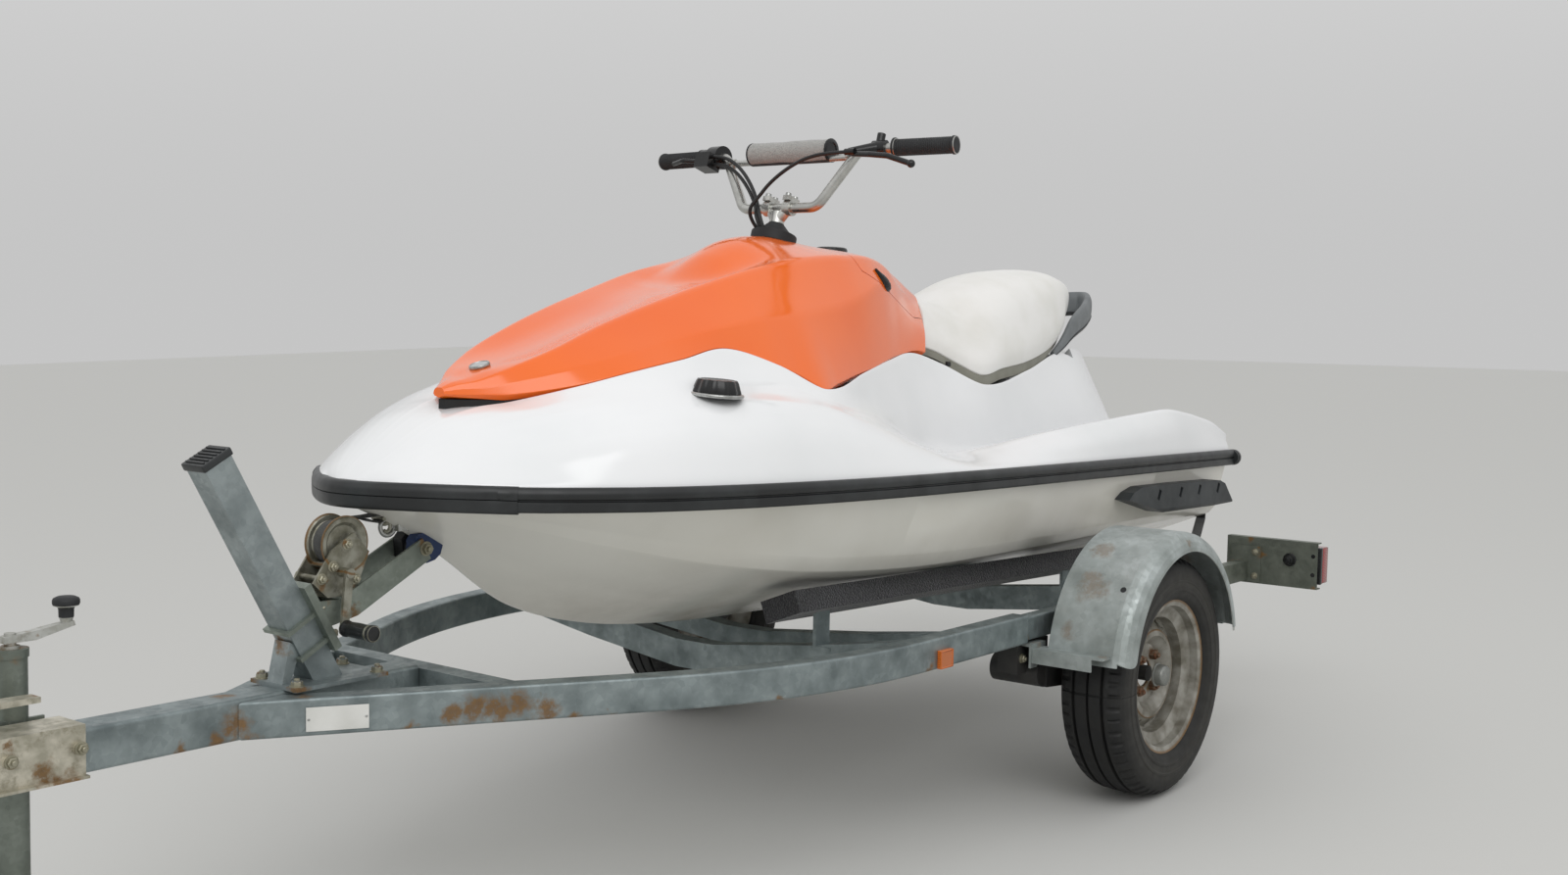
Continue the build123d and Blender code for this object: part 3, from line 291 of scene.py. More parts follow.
# on the hull this dark brown paints dust, and also the shade and the ground's reflection on its lower sides
hull_gelcoat = gelcoat("off-white gelcoat", "#e6e4dc", "#dcd9cf", "#6f675a", 0.62)
HALF_BEAM = np.array([(-45, 430), (320, 442), (900, 462), (1365, 474), (1700, 470), (2000, 440), (2200, 392),
                      (2330, 330), (2424, 262), (2500, 164), (2550, 82), (2570, 40)], float)


def half_beam(x):
    """Half the craft's width over the rail at a station, smooth through the measured ones."""
    return through(HALF_BEAM[:, 0], HALF_BEAM[:, 1], np.atleast_1d(x))


def sheer(x):
    """Height of the rail's middle above the craft frame's zero."""
    return 3.0 - 0.0047 * x


# station: keel height, strake, chine and upper chine as (half width, height)
HULL_ROWS = [
    (-12, -286, (190, -225), (372, -150), (390, -128)),
    (350, -300, (190, -236), (376, -158), (396, -134)),
    (900, -312, (190, -247), (380, -174), (402, -148)),
    (1400, -316, (188, -249), (378, -182), (402, -152)),
    (1750, -310, (172, -242), (356, -168), (380, -138)),
    (2000, -286, (142, -216), (312, -138), (338, -110)),
    (2200, -230, (104, -168), (250, -98), (276, -76)),
    (2360, -126, (66, -96), (172, -60), (198, -48)),
    (2470, -64, (38, -54), (100, -38), (120, -31)),
    (2540, -34, (16, -30), (40, -24), (50, -21)),
]
HULL_SOFT = [0.10, 0.12, 0.06, 0.06, 0.02, 0.02]
# hull and deck end this far inside the rail's line, so that the rail covers their joint
SKIN_UNDER_RAIL = 15.0


def mirrored_soft(soft):
    """Corner shares of a half ring, for the whole ring."""
    return np.array(list(soft) + list(soft)[::-1][1:-1])


stations = np.arange(-12.0, 2541.0, 12.0)
known = [row[0] for row in HULL_ROWS]
corners = []
for x, keel, strake, chine, upper in HULL_ROWS:
    side, top = half_beam(x)[0] - SKIN_UNDER_RAIL, sheer(x) - 1
    corners.append([(0, keel), strake, chine, upper, (side, top), (0, top)])
rings = through(known, np.array(corners, float), stations)
rings[:, 4, 0] = half_beam(stations) - SKIN_UNDER_RAIL
rings = rounded(both_sides(rings), mirrored_soft(HULL_SOFT), 4)
hull_skin = lofted("hull_skin", craft(with_x(stations, rings)), 30.0)
# the pump's tunnel, the intake ahead of it, and the engine's bay
BAY_X, BAY_Y = (330, 1050), (-125, 125)
carved(hull_skin, [slab("tunnel", (-60, 262), (-105, 105), (-330, -110), craft),
                   slab("intake", (430, 900), (-82, 82), (-330, -262), craft),
                   slab("bay", BAY_X, BAY_Y, (-225, 40), craft)])
fitted(hull_skin, hull_gelcoat, "craft_on_trailer", "hull_white", "hull")

# Stern eyes, one at each side of the transom: polished steel rings on a welded neck and plate, which
# two bolts hold. The tie-downs hook round their necks.
def ringed(at, axis, profile, turns=32):
    """Rings round a line: for each (run, radius) of the profile, points at that radius about the place
    at + run * axis, evenly spaced in angle."""
    n = np.asarray(axis, float) / np.linalg.norm(axis)
    side = np.cross(n, (0.0, 0.0, 1.0) if abs(n[2]) < 0.9 else (1.0, 0.0, 0.0))
    side /= np.linalg.norm(side)
    up = np.cross(n, side)
    a = np.linspace(0.0, 2 * math.pi, turns, endpoint=False)[:, None]
    p = np.asarray(profile, float)
    middle = np.asarray(at, float) + p[:, :1] * n
    return middle[:, None, :] + p[:, 1, None, None] * (np.cos(a) * side + np.sin(a) * up)


def hoop(at, axis, big, thick, high, steps=48):
    """A ring of rounded section, `thick` across its radius and `high` along its axis, as a closed loop."""
    turn = np.linspace(0.0, 2 * math.pi, 13)[:, None]
    section = np.hstack([np.sin(turn) * high / 2, big + np.cos(turn) * thick / 2])
    return ringed(at, axis, section, steps)


def soft_block(x, y, z, r):
    """Rings of a box between pairs of x, y and z. Its upright edges are rounded off by r, and towards the
    lowest and highest level it draws in, so that those edges are soft too."""
    low, high = np.sort(np.array([x, y, z], float), axis=1).T
    turn = np.linspace(0.0, 2 * math.pi, 24, endpoint=False)[:, None] + math.pi / 24
    out = np.hstack([np.cos(turn), np.sin(turn)])
    middle, corner = (low + high)[:2] / 2, (high - low)[:2] / 2 - r
    levels = [low[2], low[2] + 0.35 * r, low[2] + r, high[2] - r, high[2] - 0.35 * r, high[2]]
    rings = []
    for level, drawn_in in zip(levels, (0.35, 0.1, 0.0, 0.0, 0.1, 0.35)):
        rings.append(np.insert(middle + np.sign(out) * corner + out * r * (1 - drawn_in), 2, level, axis=1))
    return np.stack(rings)


def bundled(name, to_row, skins, sharp=35.0):
    """One mesh of several skins over rings of points in one frame. A skin whose first ring comes again as
    its last is a closed loop, and any other gets flat ends."""
    verts, faces, count = [], [], 0
    for rings in skins:
        loop = np.allclose(rings[0], rings[-1])
        rings = rings[:-1] if loop else rings
        n, m = rings.shape[:2]
        faces += ring_faces(n, m, loop, count)
        verts.append(rings.reshape(-1, 3))
        count += n * m
    return mesh_object(name, to_row(np.concatenate(verts)), faces, sharp)


def surfaced(name, colour, other, patch_mm, rough, grain=None, **shader_values):
    """A material whose colour wanders between two hex values in patches, and its roughness by (patch in mm,
    low, high). A grain of (size, height) in mm may lie on its skin."""
    material, tree, shader, coords = new_material(name, **shader_values)
    tree.links.new(mottled(tree, coords, colour, other, patch_mm), shader.inputs["Base Color"])
    worn_roughness(tree, shader, coords, *rough)
    if grain:
        grained(tree, shader, coords, *grain)
    return material


# wire and sheet, polished: a neutral grey with a shine that is a little uneven
steel = surfaced("polished stainless steel", "#b9bab8", "#9d9e9b", 14.0, (6.0, 0.22, 0.38), Metallic=1.0)
STERN_EYE = (-52.0, 345.0, -90.0)
EYE_MEAN_R, EYE_THICK, EYE_HIGH = 16.0, 8.0, 9.0
EYE_BOLT_OFF = 17
eyes = []
for s in (1, -1):
    x, y, z = STERN_EYE[0], s * STERN_EYE[1], STERN_EYE[2]
    neck = soft_block((-37.5, -12), (y - 14, y + 14), (z - 4.5, z + 4.5), 2.0)
    plate = soft_block((-22, -8), (y - 24, y + 24), (z - 18, z + 18), 4.0)
    eyes += [hoop((x, y, z), (0, 0, 1), EYE_MEAN_R, EYE_THICK, EYE_HIGH), neck, plate]
    for side in (-EYE_BOLT_OFF, EYE_BOLT_OFF):
        eyes.append(ringed((-22, y + side, z), (-1, 0, 0), [(0, 4), (2.5, 4), (4, 2.5)], 12))
fitted(bundled("stern_eyes", craft, eyes), steel, "craft_on_trailer", "galvanised", "hull")

# The deck is a second glass fibre shell over the hull: a raised flank and gunwale each side, two
# footwells, and the pedestal that carries the seat. Its white gelcoat is cleaner than the hull's.
deck_gelcoat = gelcoat("white gelcoat", "#edeeef", "#e6e8e9", "#b5b1a6", 0.50, 0.12, 0.22, 0.5)
# station, then flank, crest, outer foot, inner foot, middle, rim, step as (half width, height), centre height
DECK_ROWS = [
    (-28, (405, 48), (404, 73), (330, 22), (190, 20), (130, 26), (80, 34), (50, 36), 37),
    (40, (404, 62), (394, 108), (330, 22), (180, 22), (112, 46), (72, 64), (48, 72), 74),
    (120, (404, 72), (388, 126), (330, 22), (186, 24), (130, 86), (84, 138), (62, 150), 156),
    (185, (406, 80), (384, 137), (330, 22), (192, 24), (146, 130), (80, 252), (62, 262), 266),
    (300, (412, 90), (379, 148), (330, 23), (198, 24), (172, 140), (108, 282), (92, 268), 262),
    (444, (416, 84), (374, 138), (330, 24), (200, 24), (184, 140), (130, 266), (112, 250), 240),
    (640, (420, 74), (370, 120), (330, 24), (204, 24), (194, 120), (166, 222), (148, 206), 192),
    (865, (422, 64), (365, 98), (328, 25), (206, 25), (200, 110), (186, 187), (168, 171), 158),
    (1000, (418, 56), (360, 80), (322, 26), (210, 26), (198, 126), (150, 232), (134, 216), 196),
    (1150, (414, 42), (352, 58), (310, 36), (226, 40), (206, 136), (164, 255), (148, 239), 212),
    (1290, (408, 36), (348, 44), (296, 50), (262, 62), (238, 130), (200, 238), (184, 222), 196),
    (1450, (420, 52), (374, 74), (334, 90), (296, 112), (270, 156), (250, 211), (234, 195), 160),
    (1670, (424, 82), (382, 125), (354, 140), (338, 152), (326, 165), (315, 177), (299, 161), 140),
    (1780, (416, 96), (376, 142), (342, 162), (318, 178), (298, 200), (279, 222), (263, 206), 180),
    (1890, (408, 102), (368, 152), (328, 167), (296, 184), (268, 214), (243, 249), (227, 234), 200),
    (2000, (394, 98), (352, 144), (312, 163), (282, 180), (256, 202), (233, 226), (217, 211), 190),
    (2100, (372, 94), (332, 135), (290, 156), (260, 172), (234, 188), (212, 203), (196, 188), 170),
    (2200, (346, 86), (306, 122), (258, 146), (222, 158), (194, 166), (170, 174), (154, 160), 150),
    (2290, (300, 76), (262, 104), (215, 126), (172, 136), (132, 141), (97, 144), (81, 134), 130),
    (2340, (268, 68), (228, 92), (184, 113), (140, 124), (104, 130), (72, 134), (44, 132), 130),
    (2400, (222, 54), (188, 74), (148, 93), (112, 104), (80, 110), (54, 113), (28, 114), 114),
    (2460, (170, 38), (144, 52), (112, 66), (84, 73), (60, 77), (40, 79), (20, 80), 80),
    (2520, (104, 18), (88, 26), (70, 32), (54, 35), (40, 37), (28, 38), (14, 38), 38),
    (2552, (52, 2), (44, 6), (34, 10), (26, 12), (20, 13), (14, 13), (8, 13), 13),
]
DECK_SOFT = [0.02, 0.02, 0.20, 0.42, 0.38, 0.30, 0.30, 0.35, 0.12, 0.10, 0.02]
known = [row[0] for row in DECK_ROWS]
corners = []
for x, flank, crest, outer, inner, middle, rim, step, centre in DECK_ROWS:
    side, foot = half_beam(x)[0] - SKIN_UNDER_RAIL, sheer(x) - 1
    corners.append([(0, foot), (side, foot), (side - 2, foot + 24), flank, crest, outer, inner, middle, rim,
                    step, (0, centre)])
stations = np.concatenate([np.arange(-28.0, 2552.0, 7.0), [2552.0]])
rings = through(known, np.array(corners, float), stations)
rings[:, 1, 0] = half_beam(stations) - SKIN_UNDER_RAIL
rings[:, 2, 0] = half_beam(stations) - SKIN_UNDER_RAIL - 2
rings = rounded(both_sides(rings), mirrored_soft(DECK_SOFT), 8, spare=2)
deck_skin = lofted("deck_skin", craft(with_x(stations, rings)), 40.0)
carved(deck_skin, [slab("bay", BAY_X, BAY_Y, (-60, 420), craft)])
fitted(deck_skin, deck_gelcoat, "craft_on_trailer", "deck_white", "deck")

# The hood and the cowl behind it are one smooth form split at a seam: moulded in orange gelcoat,
# they rise from a blunt nose over two shoulders to the dome round the steering column.
orange_gelcoat = gelcoat("orange gelcoat", "#f56e18", "#f16711", "#c8632f", 0.30, 0.14, 0.20, 0.4)
# station, then edge, crease, shoulder, valley as (half width, height), centre height
HOOD_ROWS = [
    (930, (140, 232), (100, 280), (66, 340), (44, 376), 393),
    (1000, (142, 244), (112, 300), (78, 358), (52, 400), 421),
    (1100, (150, 259), (128, 326), (98, 392), (66, 436), 452),
    (1200, (174, 252), (150, 366), (122, 438), (76, 462), 466),
    (1300, (204, 238), (178, 396), (143, 456), (86, 468), 472),
    (1400, (234, 219), (207, 370), (156, 453), (92, 468), 484),
    (1500, (262, 204), (224, 346), (158, 444), (98, 462), 497),
    (1600, (292, 187), (234, 331), (158, 430), (100, 446), 486),
    (1670, (311, 177), (238, 322), (154, 418), (104, 408), 452),
    (1730, (292, 203), (236, 313), (150, 405), (94, 382), 384),
    (1790, (274, 225), (232, 304), (145, 388), (80, 366), 360),
    (1890, (239, 249), (220, 284), (134, 356), (66, 338), 331),
    (2000, (230, 226), (198, 258), (124, 319), (60, 300), 293),
    (2100, (213, 204), (182, 232), (114, 281), (56, 263), 257),
    (2200, (166, 175), (148, 202), (104, 236), (52, 226), 222),
    (2285, (97, 156), (90, 174), (72, 196), (36, 198), 196),
    (2318, (62, 154), (58, 166), (48, 179), (24, 183), 183),
    (2345, (32, 153), (30, 162), (25, 170), (12, 174), 174),
    (2366, (14, 153), (13, 158), (10, 162), (5, 164), 164),
]
HOOD_SOFT = [0.02, 0.02, 0.05, 0.10, 0.15, 0.36, 0.50]
SEAM_TOP, SEAM_LOW = (968.0, 398.0), (1068.0, 260.0)
COWL_GAP, COLUMN_HOLE_R = 1.5, 50.0
TONGUE_TIP, TONGUE_HALF = 1508, 62
OUT_OF_CRAFT = 600
COLUMN_FOOT = (1453.0, 0.0, 495.0)
COLUMN_RAKE = math.radians(15.0)
known = [row[0] for row in HOOD_ROWS]
corners = []
for x, edge, crease, shoulder, valley, centre in HOOD_ROWS:
    # the skin turns under by less and less towards the nose
    deep, turn_in = min(26.0, 4.0 + edge[0] / 6.0), min(10.0, 2.0 + edge[0] / 12.0)
    corners.append([(0, edge[1] - deep), (edge[0] - turn_in, edge[1] - turn_in), edge, crease, shoulder,
                    valley, (0, centre)])
stations = np.concatenate([np.arange(930.0, 2366.0, 5.0), [2366.0]])
hood_rings = through(known, np.array(corners, float), stations)
hood_rings = rounded(both_sides(hood_rings), mirrored_soft(HOOD_SOFT), 9, spare=4)
hood_form = craft(with_x(stations, hood_rings))


def steering(points):
    """Steering frame to row frame: z up the raked column, x forward, y port, zero at the column's foot."""
    return craft(1000.0 * tilted(points, COLUMN_RAKE, COLUMN_FOOT))


def seam_wedge(far_x, gap=0.0):
    """The space from the slanting plane where cowl and seat meet, shifted along x by a gap, to far_x."""
    run = np.array(SEAM_TOP) - SEAM_LOW
    top, low = SEAM_TOP + 3 * run + [gap, 0], SEAM_LOW - 3 * run + [gap, 0]
    side = [top, low, (far_x, low[1]), (far_x, top[1])]
    return prism("seam", side, -OUT_OF_CRAFT, OUT_OF_CRAFT, craft)


def cowl_space(grow):
    """The space that the rear cowl takes from the form, grown by a seam's width."""
    side = [(900, 700), (900, 332 - grow), (1080, 335 - grow), (1300, 400 - grow), (1366 + grow, 424 - grow),
            (1395 + grow, 480), (1395 + grow, 700)]
    return prism("cowl", side, -400, 400, craft)


def tongue_space(grow):
    """The part of the cowl that reaches forward round the steering column."""
    half = TONGUE_HALF + grow
    return slab("tongue", (1300, TONGUE_TIP + grow), (-half, half), (380, 700), craft)


def column_hole():
    """A round hole along the raked steering column."""
    turn = np.linspace(0, 2 * math.pi, 48, endpoint=False)
    circle = COLUMN_HOLE_R * np.stack([np.cos(turn), np.sin(turn)], axis=1)
    return prism("hole", circle, -120.0, 120.0, steering, axis=2)


hood_skin = carved(lofted("hood_skin", hood_form, 40.0), [seam_wedge(3000)], "INTERSECT")
carved(hood_skin, [cowl_space(COWL_GAP), tongue_space(COWL_GAP), column_hole()])
cowl_skin = carved(lofted("cowl_skin", hood_form, 40.0), [seam_wedge(3000)], "INTERSECT")
carved(cowl_skin, [carved(cowl_space(0.0), [tongue_space(0.0)], "UNION")], "INTERSECT")
carved(cowl_skin, [column_hole()])
for piece, node in ((hood_skin, "hood"), (cowl_skin, "rear_cowl")):
    fitted(piece, orange_gelcoat, "craft_on_trailer", "hood_orange", node)

# Under the nose a black strip fills the gap between hood and deck. It is painted shadow: a dark sheet where
# there is only shade under the hood's edge. It is set back from that edge, so that it reads as a dark line,
# and its skin is dull.
RECESS_FROM, RECESS_TO, RECESS_IN = 2150.0, 2358.0, 11.5
RECESS_DEEP, RECESS_BELOW_EDGE = 40.0, 9.0


def plastic(name, colour, other, grain_mm, grain_height_mm, low, high):
    """Moulded plastic: a colour that wanders a little, a fine grain from the mould, satin to matt."""
    return surfaced(name, colour, other, 70.0, (30.0, low, high), (grain_mm, grain_height_mm), IOR=1.49)


recess_x = np.linspace(RECESS_FROM, RECESS_TO, 24)
edge = through(known, np.array([row[1] for row in HOOD_ROWS], float), recess_x)
out = np.maximum(edge[:, 0] - RECESS_IN, 2.0)
low, high = edge[:, 1] - RECESS_DEEP, edge[:, 1] - RECESS_BELOW_EDGE
half = np.stack([np.stack(point, axis=1) for point in ((0 * out, low), (out, low), (out, high),
                                                       (0 * out, high))], axis=1)
# painted shadow: near black and dull, where the gap under the nose lies in shade
shadow_strip_black = plastic("painted shadow strip", "#0d0e0f", "#151617", 1.5, 0.02, 0.5, 0.7)
nose_shadow_strip = lofted("nose_shadow_strip", craft(with_x(recess_x, both_sides(half))), 30.0)
fitted(nose_shadow_strip, shadow_strip_black, "craft_on_trailer", "black_plastic")

# Small fittings of the hood: two rubber pull latches in the seam, a low screw cap on the cowl, and a
# bare round plate with a bright ring, pressed into the nose.
glossy_black = plastic("glossy black nylon", "#111213", "#1a1b1c", 1.5, 0.02, 0.18, 0.34)
LATCH_HEAD, LATCH_TAIL = np.array((1300.0, 429.0)), np.array((1246.0, 387.0))
CAP_AT, CAP_R = (1247.0, 0.0, 468.0), 37.0
NOSE_AT, NOSE_TILT, NOSE_R = (2275.0, 0.0, 203.0), math.radians(20.0), 19.0
# the hood's flank is the part of its rings that lies outside this half width and below this height
FLANK_OUT, FLANK_TOP = 60, 456


def hood_side(x, z):
    """Half width of the hood's form at places x and heights z, each read from the nearest station's ring."""
    nearest = np.abs(stations - x[..., None]).argmin(axis=-1)
    side = np.zeros(x.shape)
    for i in np.unique(nearest):
        ring = hood_rings[i]
        flank = ring[(ring[:, 0] > FLANK_OUT) & (ring[:, 1] < FLANK_TOP)]
        flank = flank[np.argsort(flank[:, 1])]
        side[nearest == i] = np.interp(z[nearest == i], flank[:, 1], flank[:, 0])
    return side


def latch(s):
    """A teardrop pad laid on the hood's side: its half width goes from 3 mm at the head to 13 mm near the
    tail and back, and its height above the surface follows a half circle."""
    t = np.linspace(0.0, 1.0, 24)[:, None]
    reach = 3.0 + 11.0 * np.sin(math.pi * t ** 1.8) ** 0.8
    turn = np.linspace(0.0, 2 * math.pi, 20, endpoint=False)
    run = LATCH_TAIL - LATCH_HEAD
    across = np.array([run[1], -run[0]]) / np.linalg.norm(run)
    flat = (LATCH_HEAD + run * t)[:, None, :] + (np.cos(turn) * reach)[..., None] * across
    rise = np.maximum(np.sin(turn), -0.5) * (4.0 + 0.55 * reach)
    y = s * (hood_side(flat[..., 0], flat[..., 1]) + rise * 0.85)
    return np.stack([flat[..., 0], y, flat[..., 1] + rise * 0.5], axis=-1)


latches = bundled("hood_latches", craft, [latch(1), latch(-1)], 60.0)
fitted(latches, glossy_black, "craft_on_trailer", "black_plastic", "rear_cowl")
cap = ringed(CAP_AT, (0, 0, 1), [(0, CAP_R), (9, CAP_R), (13, CAP_R - 2), (15, CAP_R - 7), (15, CAP_R - 11),
                                 (13.5, CAP_R - 13), (13.5, 2)], 48)
fitted(bundled("cowl_cap", craft, [cap], 40.0), glossy_black, "craft_on_trailer", "black_plastic",
       "rear_cowl")
tilt = (math.sin(NOSE_TILT), 0.0, math.cos(NOSE_TILT))
nose_ring = bundled("nose_ring", craft, [hoop(NOSE_AT, tilt, NOSE_R - 2.0, 4.5, 8.0)])
fitted(nose_ring, steel, "craft_on_trailer", "bar_silver", "hood")
plain_grey = plastic("plain grey enamel", "#b9bbbb", "#adafaf", 3.0, 0.02, 0.25, 0.4)
disc = ringed(NOSE_AT, tilt, [(-3, 17), (2.2, 17), (3.0, 14), (3.4, 1)], 40)
fitted(bundled("nose_disc", craft, [disc]), plain_grey, "craft_on_trailer", "bar_silver", "hood")

# The seat is one moulded foam cushion under white marine vinyl, tapered to a blunt tail and
# stapled under a lip to a grey base, whose edge shows along the front half.
# station, then base edge, middle, shoulder as (half width, height), centre height
SEAT_ROWS = [
    (188, (12, 396), (22, 420), (18, 436), 450),
    (205, (24, 366), (38, 414), (34, 444), 468),
    (240, (44, 342), (58, 404), (52, 450), 478),
    (290, (66, 322), (82, 390), (74, 454), 484),
    (340, (88, 304), (106, 372), (94, 458), 488),
    (400, (112, 282), (138, 350), (120, 460), 490),
    (500, (140, 252), (164, 322), (136, 452), 486),
    (640, (164, 222), (176, 292), (138, 432), 468),
    (768, (172, 204), (180, 270), (132, 390), 428),
    (865, (176, 188), (176, 246), (112, 352), 388),
    (930, (150, 212), (150, 268), (88, 362), 393),
    (1000, (128, 240), (124, 300), (70, 374), 400),
    (1090, (110, 258), (104, 320), (60, 390), 405),
]
SEAT_LIFT = 18.0
SEAM_GAP = 3.0
known = [row[0] for row in SEAT_ROWS]
seat_edge = np.array([row[1] for row in SEAT_ROWS], float)
corners = np.array([[(0, edge[1] + SEAT_LIFT), (edge[0], edge[1] + SEAT_LIFT), middle, shoulder, (0, centre)]
                    for x, edge, middle, shoulder, centre in SEAT_ROWS], float)
stations = np.concatenate([188.0 + 3.0 * np.arange(0, 6), np.arange(212.0, 1090.0, 9.0), [1090.0]])
rings = both_sides(through(known, corners, stations))
rings = rounded(rings, mirrored_soft([0.02, 0.10, 0.48, 0.46, 0.5]), 8)
seat_cushion = lofted("seat_cushion", craft(with_x(stations, rings)), 45.0)
carved(seat_cushion, [seam_wedge(-600, -SEAM_GAP)], "INTERSECT")
# vinyl has a leathery grain and a faint sheen from its plasticiser
vinyl = surfaced("white marine vinyl", "#efeeeb", "#e4e3dd", 160.0, (40.0, 0.38, 0.52), (1.6, 0.12), IOR=1.5,
                 Sheen_Weight=0.15)
fitted(seat_cushion, vinyl, "seat_lid", "seat_vinyl", "seat")
BASE_DEEP, BASE_IN, BASE_SHORT_OF_TAIL = 17.0, 5.0, 10
base_grey = plastic("grey polyethylene seat base", "#8f8e83", "#828176", 2.0, 0.05, 0.45, 0.65)
base_rows = through(known, seat_edge, stations)
inset = base_rows - [BASE_IN, 0.0]
# along its middle the base's lower edge hangs up to 9 mm lower
down = np.interp(stations, [440.0, 620.0, 860.0, 960.0], [0.0, 9.0, 9.0, 0.0])
low = inset + np.stack([0 * down, 3.0 - down], axis=1)
high = inset + [1.0, 3.0 + BASE_DEEP]
half = np.stack([low * [0.0, 1.0], low, high, high * [0.0, 1.0]], axis=1)
base_rings = with_x(stations, both_sides(half))[BASE_SHORT_OF_TAIL:]
seat_base = lofted("seat_base", craft(base_rings), 30.0)
carved(seat_base, [seam_wedge(-600, -SEAM_GAP)], "INTERSECT")
fitted(seat_base, base_grey, "seat_lid", "black_plastic", "seat")
SLOT_X = 952.0
y, z = through(known, seat_edge, [SLOT_X])[0] + [-8.0, 9.0]
slots = [soft_block((SLOT_X - 12, SLOT_X + 12), (s * y - 4.5, s * y + 4.5), (z - 5, z + 6), 2.0)
         for s in (1, -1)]
fitted(bundled("seat_slots", craft, slots), glossy_black, "seat_lid", "black_plastic", "seat")

# The rub rail is one black vinyl extrusion riveted over the joint of hull and deck: a round bead above,
# a groove, and a flat strip below. At the stern a moulded cap closes it, and a thick bumper covers the bow.
black_vinyl = plastic("black vinyl extrusion", "#1b1d1e", "#2a2d2e", 2.2, 0.05, 0.30, 0.50)
RAIL_SECTION = [(-14, -20), (-3, -20), (0, -17), (0, -3), (-4.5, -1.5), (-4.5, 0.5), (0, 2), (2.5, 11),
                (-3, 20.5), (-9, 22), (-14, 20)]
RAIL_SOFT = [0.02, 0.2, 0.3, 0.1, 0.1, 0.1, 0.2, 0.45, 0.4, 0.3, 0.02]
BUMPER_SECTION = [(-18, -23), (-4, -23), (0, -18), (1, -1), (-2, 0), (1, 1), (1, 12), (-3, 20), (-9, 23),
                  (-18, 22)]
BUMPER_SOFT = [0.02, 0.4, 0.4, 0.03, 0.03, 0.03, 0.4, 0.4, 0.4, 0.02]
BUMPER_PLAN = [(2424, 265), (2465, 213), (2500, 167), (2528, 124), (2550, 86), (2566, 52), (2575, 22),
               (2577, 0)]
BUMPER_DIMPLE = (2448.0, 13.0, 7.0, 4.0)
RAIL_END = (-40.0, 422.0, 21.0)


def evenly(rows, count):
    """The curve through the rows, read at even steps of its length over their first columns, x, y and z."""
    rows = np.asarray(rows, float)
    reach = np.cumsum(np.linalg.norm(np.diff(rows[:, :3], axis=0), axis=1))
    reach = np.concatenate([[0.0], reach])
    return through(reach, rows, np.linspace(0.0, reach[-1], count))


def leftward(line):
    """Unit normals on the left of a flat curve of points."""
    step = np.gradient(line, axis=0)
    return np.stack([-step[:, 1], step[:, 0]], axis=1) / np.linalg.norm(step, axis=1)[:, None]


def along_plan(plan, section, soft):
    """A section of (out, up) carried along a plan curve of (x, y) at the sheer line: each point is the
    curve's point plus `out` times its outward normal, and `up` above the sheer."""
    ring = rounded(section, soft, 5)
    flat = plan[:, None, :] + leftward(plan)[:, None, :] * ring[None, :, :1]
    up = sheer(plan[:, :1]) + ring[None, :, 1]
    return np.concatenate([flat, up[:, :, None]], axis=2)


rail_x = np.arange(RAIL_END[0], BUMPER_PLAN[0][0] + 24.0, 12.0)
rail = along_plan(np.stack([rail_x, half_beam(rail_x)], axis=1), RAIL_SECTION, RAIL_SOFT)
x, y, r = RAIL_END
end_cap = [(0, r * 0.75), (1.5, r * 0.93), (4, r), (13, r), (14, r - 2.5), (17, r - 2.5), (18, r - 1),
           (22, r - 1)]
rail_skins = []
for s in (1, -1):
    rail_skins += [rail * [1.0, s, 1.0], ringed((x - 10, s * y, sheer(x)), (1, 0, 0), end_cap, 40)]
rub_rail_skin = bundled("rub_rail_skin", craft, rail_skins, 40.0)
fitted(rub_rail_skin, black_vinyl, "craft_on_trailer", "rub_rubber", "rub_rail")
half_plan = np.array(BUMPER_PLAN, float)
plan = evenly(np.concatenate([half_plan, half_plan[-2::-1] * [1.0, -1.0]]), 140)
rings = along_plan(plan, BUMPER_SECTION, BUMPER_SOFT)
# two oval dimples, as deep as a gaussian of the distance from their middles
at_x, wide, tall, deep = BUMPER_DIMPLE
off_x, off_z = (rings[..., 0] - at_x) / wide, (rings[..., 2] - sheer(at_x) - 3.0) / tall
rings[..., 1] -= np.sign(rings[..., 1]) * deep * np.exp(-off_x ** 2 - off_z ** 2)
bumper_skin = lofted("bumper_skin", craft(rings), 40.0)
fitted(bumper_skin, black_vinyl, "craft_on_trailer", "rub_rubber", "rub_rail")

# The sponsons are moulded in charcoal plastic and bolted low on the hull's sides. The bow eye is a
# polished ring, and the filler cap a many-sided screw cap with a bright ring under its rim.
def dressed(material, *nodes):
    """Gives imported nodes, whose shapes stay, their material."""
    for node in nodes:
        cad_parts[node].material_slots[0].material = material


charcoal = plastic("charcoal polypropylene", "#2b2f31", "#383c3e", 1.6, 0.06, 0.42, 0.60)
dressed(charcoal, "sponson_port", "sponson_starboard")
dressed(steel, "bow_eye")
FILLER_AT, FILLER_TILT = (1995.0, 312.0, 168.0), math.radians(-4.0)
FILLER_SIDES, FILLER_LOBE, FILLER_STEPS = 12, 0.035, 96
filler_axis = (0.0, -math.sin(FILLER_TILT), math.cos(FILLER_TILT))
rings = ringed(FILLER_AT, filler_axis, [(-6, 44), (-1, 44), (-1, 43), (2, 43.5), (20, 37.5), (24, 35),
                                        (24.5, 31), (22.5, 30), (22.5, 2)], FILLER_STEPS)
